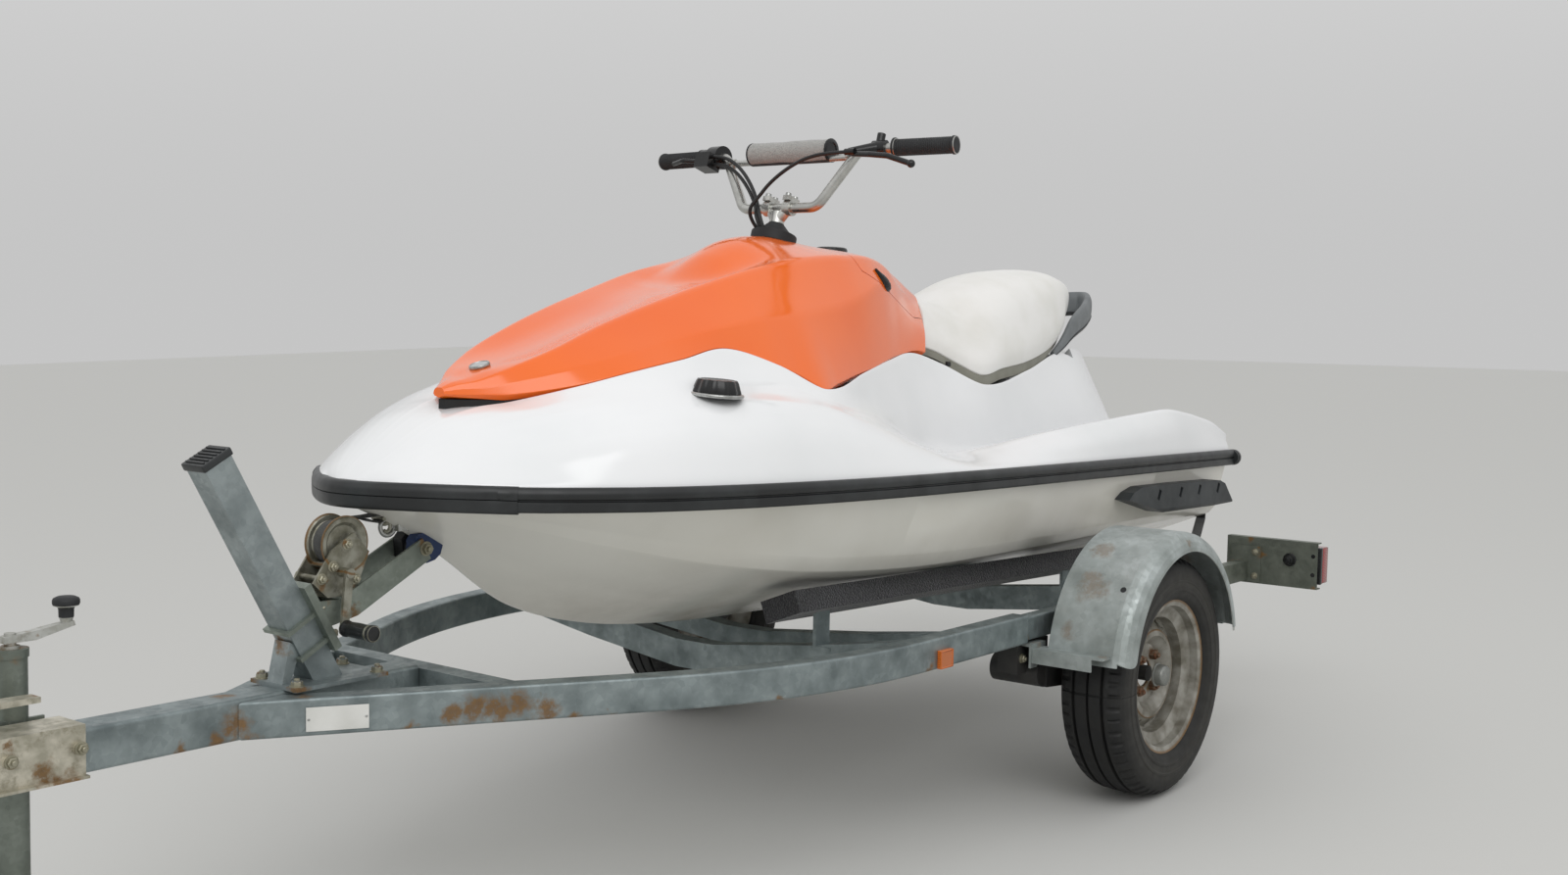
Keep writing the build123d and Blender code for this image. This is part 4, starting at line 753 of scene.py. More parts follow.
# the grip's radius swells and shrinks as a cosine with one wave for each side
middle = rings.mean(axis=1, keepdims=True)
turn = np.linspace(0, 2 * math.pi * FILLER_SIDES, FILLER_STEPS, endpoint=False)
lobes = 1.0 + FILLER_LOBE * np.cos(turn)[None, :, None]
rings[2:6] = middle[2:6] + (rings[2:6] - middle[2:6]) * lobes
filler_grip = bundled("filler_grip", craft, [rings], 35.0)
fitted(filler_grip, glossy_black, "craft_on_trailer", "black_plastic", "filler_cap")
top = ringed(FILLER_AT, filler_axis, [(21, 29.6), (23.2, 29.6), (24, 28), (24, 1)], 48)
grained_grey = plastic("grained grey plastic", "#6d7070", "#5c5f5f", 3.2, 0.35, 0.5, 0.7)
fitted(bundled("filler_top", craft, [top]), grained_grey, "craft_on_trailer", "handle_grey", "filler_cap")
ring = hoop(np.array(FILLER_AT) - 3.0 * np.array(filler_axis), filler_axis, 46.5, 7.0, 7.0)
fitted(bundled("filler_ring", craft, [ring]), steel, "craft_on_trailer", "bar_silver", "filler_cap")

# The grab handle is a broad band moulded in grey plastic with a soft bead along its lower edge. It is
# bolted to the pedestal at both ends and stands free behind the seat's tail.
# x, y, z, half height, half thickness, from the port end to the middle
HANDLE = [(438, 122, 262, 9, 7), (396, 127, 294, 16, 8), (340, 122, 334, 28, 9), (240, 98, 366, 32, 12),
          (150, 64, 392, 33, 13), (98, 32, 406, 33, 13), (76, 0, 409, 33, 13)]
HANDLE_SECTION = [(1, 0.5), (0.45, 1), (-0.45, 1), (-1, 0.5), (-1, -0.5), (-0.45, -1), (0.45, -1), (1, -0.5)]
BEAD_SECTION = [(1.06, -0.66), (0.9, -0.8), (0.6, -1.0), (-0.6, -1.0), (-0.9, -0.8), (-1.06, -0.66)]


def handle_rings(section):
    """A section in shares of (half thickness, half height), carried round the handle from side to side."""
    half = np.array(HANDLE, float)
    rows = evenly(np.concatenate([half, half[-2::-1] * [1.0, -1.0, 1.0, 1.0, 1.0]]), 120)
    ring = rounded(section, 0.42, 5)
    flat = rows[:, None, :2] - leftward(rows[:, :2])[:, None, :] * ring[None, :, :1] * rows[:, None, 4:5]
    up = rows[:, None, 2] + ring[None, :, 1] * rows[:, None, 3]
    return np.concatenate([flat, up[:, :, None]], axis=2)


handle_band = lofted("handle_band", craft(handle_rings(HANDLE_SECTION)), 50.0)
grip_grey = plastic("grained grey thermoplastic", "#74787a", "#666a6c", 1.8, 0.10, 0.45, 0.62)
fitted(handle_band, grip_grey, "craft_on_trailer", "handle_grey", "grab_handle")
handle_bead = lofted("handle_bead", craft(handle_rings(BEAD_SECTION)), 50.0)
fitted(handle_bead, black_vinyl, "craft_on_trailer", "black_plastic", "grab_handle")

# Under the stern: the pump housing with its steering nozzle, the ride plate and the intake grate are
# aluminium castings, left bare and gone dull in water. The engine is a painted block under the seat.
def cast_alloy(name, colour, other, low, high):
    """Sand-cast aluminium: light grey, dull where it has oxidised, with a pebbled skin."""
    return surfaced(name, colour, other, 22.0, (12.0, low, high), (1.8, 0.08), Metallic=0.9)


dull_alloy = cast_alloy("dull cast aluminium", "#9b9d9c", "#7d7f7e", 0.45, 0.65)
dressed(dull_alloy, "pump_housing", "steering_nozzle", "ride_plate", "intake_grate")
engine_paint = plastic("grey engine enamel", "#4a4e50", "#3c4042", 2.5, 0.08, 0.35, 0.55)
dressed(engine_paint, "engine")
FLANGE_X, FLANGE_BOLTS = -11.0, [(84, -124), (-84, -124), (84, -290), (-84, -290)]
pump_bolts = []
for y, z in FLANGE_BOLTS:
    pump_bolts += [ringed((FLANGE_X, y, z), (-1, 0, 0), [(0, 8.5), (1.5, 8.5)], 24),
                   ringed((FLANGE_X - 1.5, y, z), (-1, 0, 0), [(0, 6.5), (5, 6.5), (6, 5.2)], 6)]
pump_bolt_heads = bundled("pump_bolt_heads", craft, pump_bolts, 25.0)
fitted(pump_bolt_heads, steel, "craft_on_trailer", "cast_alloy")

# Steering: a raked column in a rubber bellows, a cast yoke with two clamps, and a bent tube with a cross
# bar. The grips, throttle housing and lever are clamped or pushed on to the tube.
CLAMP_Y, BAR_UP, BAR_TOP = 27.0, 60.0, 192.0
UPRIGHT = (0, 0, 1)


def between(a, b, profile, turns=32):
    """Rings round the line from a to b, with (run from a, radius) rows."""
    return ringed(a, np.asarray(b, float) - np.asarray(a, float), profile, turns)


def along_grip(s, run):
    """A point of the bar's straight end on side s, `run` mm in from its tip."""
    a = np.array([-33.0, s * 393.0, BAR_TOP + 5])
    b = np.array([-3.0, s * 182.0, BAR_TOP - 6])
    return a + (b - a) / np.linalg.norm(b - a) * run


bright_alloy = cast_alloy("polished cast aluminium", "#cfcfca", "#b4b4af", 0.26, 0.44)
dressed(bright_alloy, "steering_column")
tube_silver = surfaced("satin anodised tube", "#c2c2be", "#adada9", 30.0, (5.0, 0.24, 0.36), Metallic=1.0)
dressed(tube_silver, "handlebar")
dressed(glossy_black, "throttle_housing", "bar_lever")
soft_rubber = plastic("soft black rubber", "#17181a", "#242628", 1.2, 0.05, 0.55, 0.75)
collar = ringed((0, 0, 0), UPRIGHT, [(-20, 49.4), (-1.0, 49.4), (1.2, 48.8), (1.8, 47.4), (1.0, 46.2),
                                     (-20, 46.2)], 64)
column_collar = bundled("column_collar", steering, [collar], 50.0)
fitted(column_collar, soft_rubber, "craft_on_trailer", "grip_rubber", "column_grommet")
# a cone's radius, with three half-round folds that just stand proud of it
BELLOWS_LOW, BELLOWS_HIGH, BELLOWS_NECK_R = -3.0, 24.0, 17.0
CONE_R, FOLD_R, FOLD_DEEP = 44.2, 41.0, 3.4
up = np.linspace(BELLOWS_LOW, BELLOWS_HIGH, 46)
risen = up - BELLOWS_LOW
folds = np.abs(np.sin(risen / (BELLOWS_HIGH - BELLOWS_LOW) * 3 * math.pi))
radius = np.maximum(FOLD_R - risen + FOLD_DEEP * folds, CONE_R - risen)
radius = np.append(np.maximum(radius, BELLOWS_NECK_R), BELLOWS_NECK_R)
profile = np.stack([np.append(up, BELLOWS_HIGH + 1), radius], axis=1)
bellows = bundled("column_bellows", steering, [ringed((0, 0, 0), UPRIGHT, profile, 64)], 60.0)
fitted(bellows, soft_rubber, "handlebars", "grip_rubber")
SCREW = [(0, 6.4), (6.6, 6.4), (7.4, 5.6), (7.4, 3.0), (6.0, 2.8)]
screws = [ringed((x, y, BAR_UP + 22), UPRIGHT, SCREW, 24) for y in (-CLAMP_Y, CLAMP_Y) for x in (-12, 12)]
fitted(bundled("clamp_screws", steering, screws, 30.0), steel, "handlebars", "bar_silver")
GRIP_LONG, GRIP_R, GRIP_RIBS, RIB_DEEP = 132.0, 17.2, 26, 0.7
run = np.linspace(3.0, GRIP_LONG - 6.0, 4 * GRIP_RIBS + 1)
rib = GRIP_R + RIB_DEEP * np.cos(np.arange(4 * GRIP_RIBS + 1) * math.pi / 2)
profile = np.concatenate([
    [(-6.5, 4.0), (-7.0, 12.0), (-6.0, 17.0), (-3.0, 19.4), (1.0, 19.4)], np.stack([run, rib], axis=1),
    [(GRIP_LONG - 4.0, 18.0), (GRIP_LONG - 1.5, 21.2), (GRIP_LONG + 2.0, 21.2), (GRIP_LONG + 3.0, 17.0)]])
grips = [between(along_grip(s, 0), along_grip(s, 10), profile, 40) for s in (1, -1)]
fitted(bundled("bar_grips", steering, grips, 50.0), soft_rubber, "handlebars", "grip_rubber")

# The bar pad is a foam sleeve in a grey woven cover, slit along its underside and pushed over the cross
# bar. A black moulded disc closes each end, and a small silver clamp holds each end of the cross bar.
PAD_HALF, PAD_R, PAD_AT = 106.0, 25.0, (-3.0, 0.0, 188.0)
CROSS_BAR_UP = 170
# woven about 1 mm apart on the real one, and drawn coarser here so that it shows
WEAVE_MM = 2.2
cover, tree, shader, coords = new_material("grey woven pad cover", IOR=1.5, Sheen_Weight=0.3, Roughness=0.85)
weave = add(tree, "ShaderNodeTexVoronoi", {"Scale": 1000.0 / WEAVE_MM}, {"Vector": coords})
tone = add(tree, "ShaderNodeMapRange", {"From Min": 0.1, "From Max": 0.7},
           {"Value": weave.outputs["Distance"]})
mix = add(tree, "ShaderNodeMix", {6: linear("#b9b8b4"), 7: linear("#8f8e8b")}, {0: tone.outputs[0]},
          data_type="RGBA")
tree.links.new(mix.outputs[2], shader.inputs["Base Color"])
bump = add(tree, "ShaderNodeBump", {"Distance": 0.0006, "Strength": 1.0},
           {"Height": weave.outputs["Distance"]}, invert=True)
tree.links.new(bump.outputs[0], shader.inputs["Normal"])
run = np.linspace(-PAD_HALF, PAD_HALF, 60)
swell = PAD_R - 0.6 + 0.5 * np.sin(run / 21.0) + 0.3 * np.sin(run / 9.0 + 1.0)
swell[[0, -1]] -= 2.0
rings = ringed(PAD_AT, (0, 1, 0), np.stack([run, swell], axis=1), 64)
pad_cover = lofted("pad_cover", steering(rings), 60.0)
fitted(pad_cover, cover, "handlebars", "pad_foam", "bar_pad")
PAD_END = [(0, PAD_R + 0.4), (2.5, PAD_R + 0.4), (4.0, PAD_R - 1.5), (4.0, PAD_R - 8.0), (2.0, PAD_R - 9.0)]
ends = [ringed(PAD_AT + np.array([0, s * (PAD_HALF - 1), 0]), (0, s, 0), PAD_END, 48) for s in (1, -1)]
fitted(bundled("pad_ends", steering, ends, 40.0), glossy_black, "handlebars", "black_plastic", "bar_pad")
under = PAD_AT[2] - PAD_R
# the slit is drawn as a black strip along the underside: painted shade in the opening
slit_shade = soft_block((PAD_AT[0] - 5, PAD_AT[0] + 5), (-PAD_HALF, PAD_HALF), (under - 0.6, under + 4), 1.5)
fitted(bundled("pad_slit_shade", steering, [slit_shade], 40.0), soft_rubber, "handlebars", "pad_foam", "bar_pad")
clamps = []
for s in (1, -1):
    clamps += [between((-3, s * 152, CROSS_BAR_UP), (-3, s * 168, CROSS_BAR_UP),
                       [(0, 9.5), (1, 10.5), (15, 10.5), (16, 9.5)], 32),
               ringed((9, s * 160, CROSS_BAR_UP), (1, 0, 0), [(-2, 5.5), (3, 5.5), (3.6, 4.8)], 6)]
fitted(bundled("cross_bar_clamps", steering, clamps, 30.0), bright_alloy, "handlebars", "bar_silver")

# Three control cables run down ahead of the column into the bellows: two from the throttle housing
# and one from the lever's perch. Each is a steel wire in black plastic, 8 mm thick, and stiff enough to
# hold its bow.
CABLE_R = 0.004
CABLES = {
    "throttle_cable": (0.279, [(0.024, -0.199, 0.178), (0.022, -0.165, 0.177), (0.024, -0.124, 0.156),
                               (0.028, -0.088, 0.127), (0.031, -0.056, 0.092), (0.037, -0.031, 0.057),
                               (0.047, -0.012, 0.028), (0.033, -0.005, 0.003)]),
    "return_cable": (0.259, [(0.018, -0.199, 0.162), (0.020, -0.168, 0.162), (0.014, -0.132, 0.144),
                             (0.020, -0.096, 0.116), (0.026, -0.064, 0.084), (0.031, -0.039, 0.052),
                             (0.042, -0.025, 0.026), (0.028, -0.017, 0.003)]),
    "lever_cable": (0.319, [(0.042, 0.180, 0.163), (0.044, 0.150, 0.162), (0.050, 0.115, 0.157),
                            (0.052, 0.077, 0.147), (0.052, 0.036, 0.125), (0.050, 0.0, 0.098),
                            (0.048, -0.024, 0.068), (0.050, -0.042, 0.043), (0.032, -0.043, 0.021),
                            (0.014, -0.031, 0.003)]),
}
cable_black = plastic("black cable sheath", "#121314", "#1c1d1e", 1.0, 0.02, 0.35, 0.5)
for name, (long, route) in CABLES.items():
    points = steering(np.array(route) * 1000.0)
    curve = bpy.data.curves.new(name + "_line", "CURVE")
    curve.dimensions = "3D"
    spline = curve.splines.new("NURBS")
    spline.points.add(len(points) - 1)
    spline.points.foreach_set("co", np.insert(points, 3, 1.0, axis=1).ravel())
    spline.order_u = 3
    spline.use_endpoint_u = True
    spline.resolution_u = 10
    curve.bevel_depth = CABLE_R
    curve.bevel_resolution = 5
    curve.use_fill_caps = True
    cable = bpy.data.objects.new(name + "_line", curve)
    bpy.context.collection.objects.link(cable)
    fitted(cable, cable_black, "handlebars", "grip_rubber", name)

# The trailer's frame is welded from steel box section and hot-dip galvanised: two rails drawn in to
# the drawbar, and four cross members. The zinc has gone dull, with spangle, and rust has started at edges.
WHEEL_R = 261.0
TRAILER_TILT = math.radians(1.68)
RAIL_TOP = 155.0
FRAME_RUST = [((1872, 34, 125), 34), ((1862, 48, 100), 30), ((1900, 32, 99), 22), ((1960, 32, 96), 18),
              ((1582, 202, 112), 30), ((1550, 220, 122), 36), ((1518, 238, 116), 38), ((1486, 257, 122), 36),
              ((1452, 277, 112), 30), ((1410, 300, 98), 20), ((1640, 168, 97), 18), ((1350, 335, 97), 16),
              ((1778, 58, 163), 26), ((1600, 56, 163), 26), ((1868, 0, 163), 24), ((-470, 515, 125), 26),
              ((330, 515, 100), 26), ((700, 535, 97), 20), ((1080, 474, 97), 16), ((745, 480, 128), 20),
              ((-242, 480, 128), 22), ((1500, -262, 120), 28)]


def trailer(points):
    """Trailer frame to row frame: forward of the wheel centre, port, above the wheel centre."""
    return tilted(points, TRAILER_TILT, (AXLE_X, 0.0, WHEEL_R))


def spots_at(rows):
    """Rust spots from (place, reach) in mm of the trailer's frame."""
    return [(trailer(np.array(at, float)).tolist(), reach / 1000.0) for at, reach in rows]


ROAM = 0.030


def nearness(tree, coords, spots):
    """The greatest of 1 - distance / reach over the spots, each a (place, reach) in metres. The distances
    are taken from places that a noise has moved by up to ROAM, so that no spot stays round."""
    noise = add(tree, "ShaderNodeTexNoise", {"Scale": 28.0, "Detail": 4.0}, {"Vector": coords})
    moved = add(tree, "ShaderNodeVectorMath", {1: (0.5,) * 3}, {0: noise.outputs["Color"]},
                operation="SUBTRACT")
    moved = add(tree, "ShaderNodeVectorMath", {1: (2 * ROAM,) * 3}, {0: moved.outputs[0]},
                operation="MULTIPLY")
    coords = add(tree, "ShaderNodeVectorMath", None, {0: coords, 1: moved.outputs[0]}, operation="ADD")
    near = None
    for at, reach in spots:
        far = add(tree, "ShaderNodeVectorMath", {1: at}, {0: coords.outputs[0]}, operation="DISTANCE")
        here = add(tree, "ShaderNodeMapRange", {"From Min": reach, "From Max": 0.0},
                   {"Value": far.outputs["Value"]}).outputs[0]
        if near is not None:
            here = add(tree, "ShaderNodeMath", None, {0: near, 1: here}, operation="MAXIMUM").outputs[0]
        near = here
    return near


def rusted(tree, shader, coords, paint, near, metallic, speck_mm=8.0, most=0.9):
    """Rust over a colour: thick where nearness is 1, and broken into specks outwards, where nearness times
    a noise passes a level. The metal ends where rust covers it."""
    speck = add(tree, "ShaderNodeTexNoise", {"Scale": 1000.0 / speck_mm, "Detail": 6.0, "Roughness": 0.65},
                {"Vector": coords})
    both = add(tree, "ShaderNodeMath", None, {0: near, 1: speck.outputs["Fac"]}, operation="MULTIPLY")
    share = add(tree, "ShaderNodeMapRange", {"From Min": 0.10, "From Max": 0.34, "To Max": most},
                {"Value": both.outputs[0]}).outputs[0]
    tone = add(tree, "ShaderNodeMix", {6: linear("#3a2511"), 7: linear("#8b6429")},
               {0: speck.outputs["Fac"]}, data_type="RGBA")
    mix = add(tree, "ShaderNodeMix", None, {0: share, 6: paint, 7: tone.outputs[2]}, data_type="RGBA")
    tree.links.new(mix.outputs[2], shader.inputs["Base Color"])
    metal = add(tree, "ShaderNodeMapRange", {"To Min": metallic, "To Max": 0.0}, {"Value": share})
    tree.links.new(metal.outputs[0], shader.inputs["Metallic"])


def galvanised(name, bright, dull, spots, spangle_mm=11.0, low=0.42, high=0.62, most=0.9):
    """Hot-dipped zinc: crystals a centimetre across that catch the light a little differently, dull grey
    oxide in patches, and rust at the spots, which is no metal and takes the gloss away."""
    material, tree, shader, coords = new_material(name, Metallic=0.85)
    crystal = add(tree, "ShaderNodeTexVoronoi", {"Scale": 1000.0 / spangle_mm}, {"Vector": coords})
    split = add(tree, "ShaderNodeSeparateColor", None, {"Color": crystal.outputs["Color"]})
    paint = mottled(tree, coords, bright, dull, 60.0, 0.35, 0.7)
    tone = add(tree, "ShaderNodeMapRange", {"To Min": 0.0, "To Max": 0.34}, {"Value": split.outputs["Red"]})
    paint = add(tree, "ShaderNodeMix", {7: linear(dull)}, {0: tone.outputs[0], 6: paint}, data_type="RGBA")
    rusted(tree, shader, coords, paint.outputs[2], nearness(tree, coords, spots), 0.8, most=most)
    rough = add(tree, "ShaderNodeMapRange", {"To Min": low, "To Max": high},
                {"Value": split.outputs["Green"]})
    tree.links.new(rough.outputs[0], shader.inputs["Roughness"])
    grained(tree, shader, coords, 2.4, 0.07)
    return material


frame_zinc = galvanised("hot-dip galvanised steel", "#9ba5a6", "#707a7b", spots_at(FRAME_RUST))
dressed(frame_zinc, "rail_port", "rail_starboard", "drawbar", "front_cross_member", "keel_cross_member",
        "mid_cross_member", "rear_cross_member")
PLATE_AT, PLATE_TURN = (1745.0, 104.2, 122.0), math.radians(-30.84)
PLATE_SIZE, PLATE_BACK = (96.0, 38.0), 10.0


def on_plate(points):
    """Plate frame to row frame: x along the rail's drawn-in face, y out of it, z up, zero at its middle."""
    x, y, z = np.moveaxis(np.asarray(points, float) - [PLATE_BACK, 0.0, 0.0], -1, 0)
    c, s = math.cos(PLATE_TURN), math.sin(PLATE_TURN)
    return trailer(np.stack([x * c - y * s, x * s + y * c, z], axis=-1) + PLATE_AT)


wide, tall = PLATE_SIZE
# thin white-faced aluminium, riveted at both ends
plate_white = plastic("bare white printed plate", "#dcdcd8", "#cfcfca", 4.0, 0.01, 0.3, 0.45)
plate = soft_block((-wide / 2, wide / 2), (0.5, 2.2), (-tall / 2, tall / 2), 0.5)
fitted(bundled("data_plate", on_plate, [plate]), plate_white, "craft_on_trailer", "zinc")
rivets = [ringed((x, 2.2, 0), (0, 1, 0), [(-1, 2.2), (0.5, 2.2), (1.0, 1.2)], 16)
          for x in (4 - wide / 2, wide / 2 - 4)]
fitted(bundled("plate_rivets", on_plate, rivets), steel, "craft_on_trailer", "zinc")

# The winch post is square tube on a bolted foot plate, with a ribbed plastic plug in its top. The bow
# stop's arms are folded flat bars that two square U-bolts draw up to it.
POST_U, POST_LEAN = 1688.0, math.radians(29.0)
POST_HALF, POST_HIGH = 28.5, 416.4
POST_RUST = [((POST_U + x, y, 164), 30) for x in (-88, 88) for y in (58, -58)]
POST_RUST += [((1760, 0, 225), 26), ((1640, 32, 272), 18)]
ARM_RUST = [((1694, 33, 296), 16), ((1648, 33, 266), 22), ((1510, 33, 372), 12)]
post_zinc = galvanised("galvanised post", "#a4adae", "#7c8586", spots_at(POST_RUST), 9.0)
dressed(post_zinc, "winch_post")
arm_zinc = galvanised("galvanised flat bar", "#98a097", "#777e76", spots_at(ARM_RUST), 7.0)
dressed(arm_zinc, "bow_stop_arms")


def from_post(points):
    """Post frame to trailer frame: z up the leaning post from the drawbar's top, x forward of it."""
    return 1000.0 * tilted(points, -POST_LEAN, (POST_U, 0.0, RAIL_TOP + 5))


plug = [soft_block((-POST_HALF, POST_HALF), (-POST_HALF, POST_HALF), (POST_HIGH, POST_HIGH + 12), 3.0)]
plug += [soft_block((x - 1.6, x + 1.6), (-24, 24), (427, 430.4), 1.0) for x in (-20, -12, -4, 4, 12, 20)]
post_plug = bundled("post_plug", trailer, [from_post(rings) for rings in plug], 40.0)
fitted(post_plug, black_vinyl, "craft_on_trailer", "black_plastic")

# Zinc-plated hex bolts hold the trailer together. Each has a washer, a six-sided head or nut, and the
# end of its thread, and their zinc has yellowed and begun to rust.
BOLTS = [((POST_U + x, y, 166.5), (0, 0, 1), 9.4) for x in (-78, 78) for y in (-46, 46)]
for s in (1, -1):
    BOLTS += [((u, s * 28, w), (0, s, 0), 7.5) for u, w in ((1706, 328), (1684, 346), (1656, 380),
                                                           (1640, 322))]
    BOLTS += [((u, s * 44, 136), (0, s, 0), 8.0) for u in (2123, 2224)]
    BOLTS += [((1499, s * 35, 358), (0, s, 0), 10.0), ((292, s * 541, 68), (0, s, 0), 8.0),
              ((-288, s * 541, 84), (0, s, 0), 8.0), ((-288, s * 541, 132), (0, s, 0), 8.0),
              ((292, s * 640, 80), (0, 0, -1), 7.0), ((-288, s * 640, 80), (0, 0, -1), 7.0),
              ((230, s * 519, 62), (0, s, 0), 8.0), ((322, s * 519, 62), (0, s, 0), 8.0),
              ((-833.5, s * 545, 174), (1, 0, 0), 7.0), ((-833.5, s * 545, 112), (1, 0, 0), 7.0),
              ((745, s * 317, 205), (0, s, 0), 7.0), ((-242, s * 317, 205), (0, s, 0), 7.0)]
BACK_OF_POST = (-math.cos(POST_LEAN), 0, math.sin(POST_LEAN))
BOLTS += [(tuple(from_post((-39.0, y, up))), BACK_OF_POST, 7.5) for up in (66, 116) for y in (-29, 29)]


def hex_bolt(at, axis, r):
    """A washer, a six-sided head whose corners are `r` off the axis, and a thread's end, as rings."""
    return [ringed(at, axis, [(-1, 1.25 * r), (0.16 * r, 1.25 * r), (0.2 * r, 1.15 * r)], 24),
            ringed(at, axis, [(0.1 * r, r), (0.8 * r, r), (0.95 * r, 0.84 * r)], 6),
            ringed(at, axis, [(0.8 * r, 0.5 * r), (1.3 * r, 0.5 * r), (1.4 * r, 0.38 * r)], 16)]


bolt_spots = [(trailer(np.array(at)).tolist(), 0.012) for at, axis, r in BOLTS[::3]]
bolt_zinc = galvanised("yellowed zinc plate", "#b5b2a0", "#8f8b78", bolt_spots, 5.0, 0.35, 0.55)
skins = [rings for bolt in BOLTS for rings in hex_bolt(*bolt)]
trailer_bolts = bundled("trailer_bolts", trailer, skins, 25.0)
fitted(trailer_bolts, bolt_zinc, "craft_on_trailer", "zinc")

# The hand winch: two bent side plates with tie bars, a drum between two dished flanges, and a thin
# crank with a black grip. It is zinc plated, stained, and rusty round the flanges' rims.
DRUM_AT, DRUM_RIM, DRUM_CORE = (1656.0, 0.0, 380.0), 46.0, 26.0


def by_circle(tree, coords, at, r, reach):
    """1 on a cylinder of radius r about a line along y through the place, falling to 0 within the reach."""
    flat = add(tree, "ShaderNodeVectorMath", {1: (1.0, 0.0, 1.0)}, {0: coords}, operation="MULTIPLY")
    far = add(tree, "ShaderNodeVectorMath", {1: (at[0], 0.0, at[2])}, {0: flat.outputs[0]},
              operation="DISTANCE")
    off = add(tree, "ShaderNodeMath", {1: r}, {0: far.outputs["Value"]}, operation="SUBTRACT")
    off = add(tree, "ShaderNodeMath", None, {0: off.outputs[0]}, operation="ABSOLUTE").outputs[0]
    return add(tree, "ShaderNodeMapRange", {"From Min": reach, "From Max": 0.0}, {"Value": off}).outputs[0]


def near_circles(tree, coords, near, circles):
    """The greatest of a nearness and those to circles, each a (place, radius, reach)."""
    for circle in circles:
        here = by_circle(tree, coords, *circle)
        near = add(tree, "ShaderNodeMath", None, {0: near, 1: here}, operation="MAXIMUM").outputs[0]
    return near


def plated(name, bright, dirt, stain, spots, circles=()):
    """Electroplated zinc: bright but blotched with white and brown stain, and rusty at spots and at
    circles, each a (place, radius, reach)."""
    material, tree, shader, coords = new_material(name)
    paint = mottled(tree, coords, bright, dirt, 24.0, 0.38, 0.62, 8.0)
    blot = add(tree, "ShaderNodeTexNoise", {"Scale": 62.0, "Detail": 7.0, "Roughness": 0.7},
               {"Vector": coords})
    share = add(tree, "ShaderNodeMapRange", {"From Min": 0.52, "From Max": 0.68, "To Max": 0.7},
                {"Value": blot.outputs["Fac"]})
    paint = add(tree, "ShaderNodeMix", {7: linear(stain)}, {0: share.outputs[0], 6: paint}, data_type="RGBA")
    near = near_circles(tree, coords, nearness(tree, coords, spots), circles)
    rusted(tree, shader, coords, paint.outputs[2], near, 0.75, 5.0)
    worn_roughness(tree, shader, coords, 9.0, 0.34, 0.62)
    grained(tree, shader, coords, 3.0, 0.08)
    return material


drum_place = trailer(np.array(DRUM_AT)).tolist()
WINCH_RUST = [((1706, 30, 318), 12), ((1676, 50, 338), 12), ((1682, 50, 268), 14), ((1640, 30, 300), 14),
              ((1620, 30, 350), 12)]
winch_zinc = plated("stained zinc plate", "#a3a296", "#7c7a6b", "#5d584b", spots_at(WINCH_RUST),
                    [(drum_place, DRUM_RIM / 1000.0, 0.0035)])
dressed(winch_zinc, "winch")
grip = between((1678, 53, 248), (1678, 123, 248), [
    (0, 12.2), (1, 13.6), (5, 13.6), (7, 12.2), (20, 12.6), (34, 13.0), (48, 12.6), (62, 12.2), (65, 13.8),
    (70, 13.8), (71.5, 11)], 32)
fitted(bundled("winch_grip", trailer, [grip], 40.0), glossy_black, "craft_on_trailer", "black_plastic")

# The bow stop is a V of two moulded rubber lobes on a bolt between the arms, both navy: the port one is
# drawn navy and the starboard one near black, which is painted shade. Its skin is matt with a bloom of dust.
lobe_rubber, tree, shader, coords = new_material("moulded rubber lobes", IOR=1.5)
side = add(tree, "ShaderNodeSeparateXYZ", None, {"Vector": coords}).outputs["Y"]
# the starboard half, below y = 0, takes the near black of painted shade, and the port half stays navy
half = add(tree, "ShaderNodeMapRange", {"From Min": -0.001, "From Max": 0.001}, {"Value": side})
navy = mottled(tree, coords, "#1b2f58", "#243b66", 25.0)
black = mottled(tree, coords, "#17181a", "#232527", 25.0)
mix = add(tree, "ShaderNodeMix", None, {0: half.outputs[0], 6: black, 7: navy}, data_type="RGBA")
tree.links.new(mix.outputs[2], shader.inputs["Base Color"])
worn_roughness(tree, shader, coords, 14.0, 0.45, 0.65)
grained(tree, shader, coords, 1.5, 0.05)
dressed(lobe_rubber, "bow_stop")

# Webbing: the winch strap is black polyester, wound on the drum and sewn back round its hook's
# eye. Each tie-down is a narrower strap from the stern eye's neck to the lamp arm.
STRAP_WIDE, STRAP_THICK, WOUND_R = 26.0, 3.0, 37.0
HOOK_BAR_U, HOOK_BAR_W, HOOK_R = 1571.0, 413.0, 3.6
STRAP_LINE = [(1656, 415.2), (1630, 417.5), (1600, 418.5), (1577, 419), (1566.5, 413), (1577, 407.5),
              (1604, 414.5)]
HOOK_LINE = [(1571, 409), (1565, 404), (1557, 402), (1550, 404), (1547, 398), (1549, 391), (1556, 388),
             (1560, 391)]
RIB_MM = 2.0


def wave_scale(pitch_mm):
    """The scale that puts a wave texture's bands a pitch apart: at scale s they are 2 pi / (20 s) apart."""
    return math.pi / 10 / (pitch_mm / 1000.0)


def webbing(name, colour, other, way):
    """Woven polyester: ribs RIB_MM apart that run along the strap, dusty, with a soft sheen."""
    material, tree, shader, coords = new_material(name, IOR=1.5, Sheen_Weight=0.25, Roughness=0.8)
    tree.links.new(mottled(tree, coords, colour, other, 30.0), shader.inputs["Base Color"])
    rib = add(tree, "ShaderNodeTexWave", {"Scale": wave_scale(RIB_MM), "Distortion": 0.4}, {"Vector": coords},
              bands_direction=way)
    bump = add(tree, "ShaderNodeBump", {"Distance": 0.0004, "Strength": 1.0},
               {"Height": rib.outputs["Color"]})
    tree.links.new(bump.outputs[0], shader.inputs["Normal"])
    return material


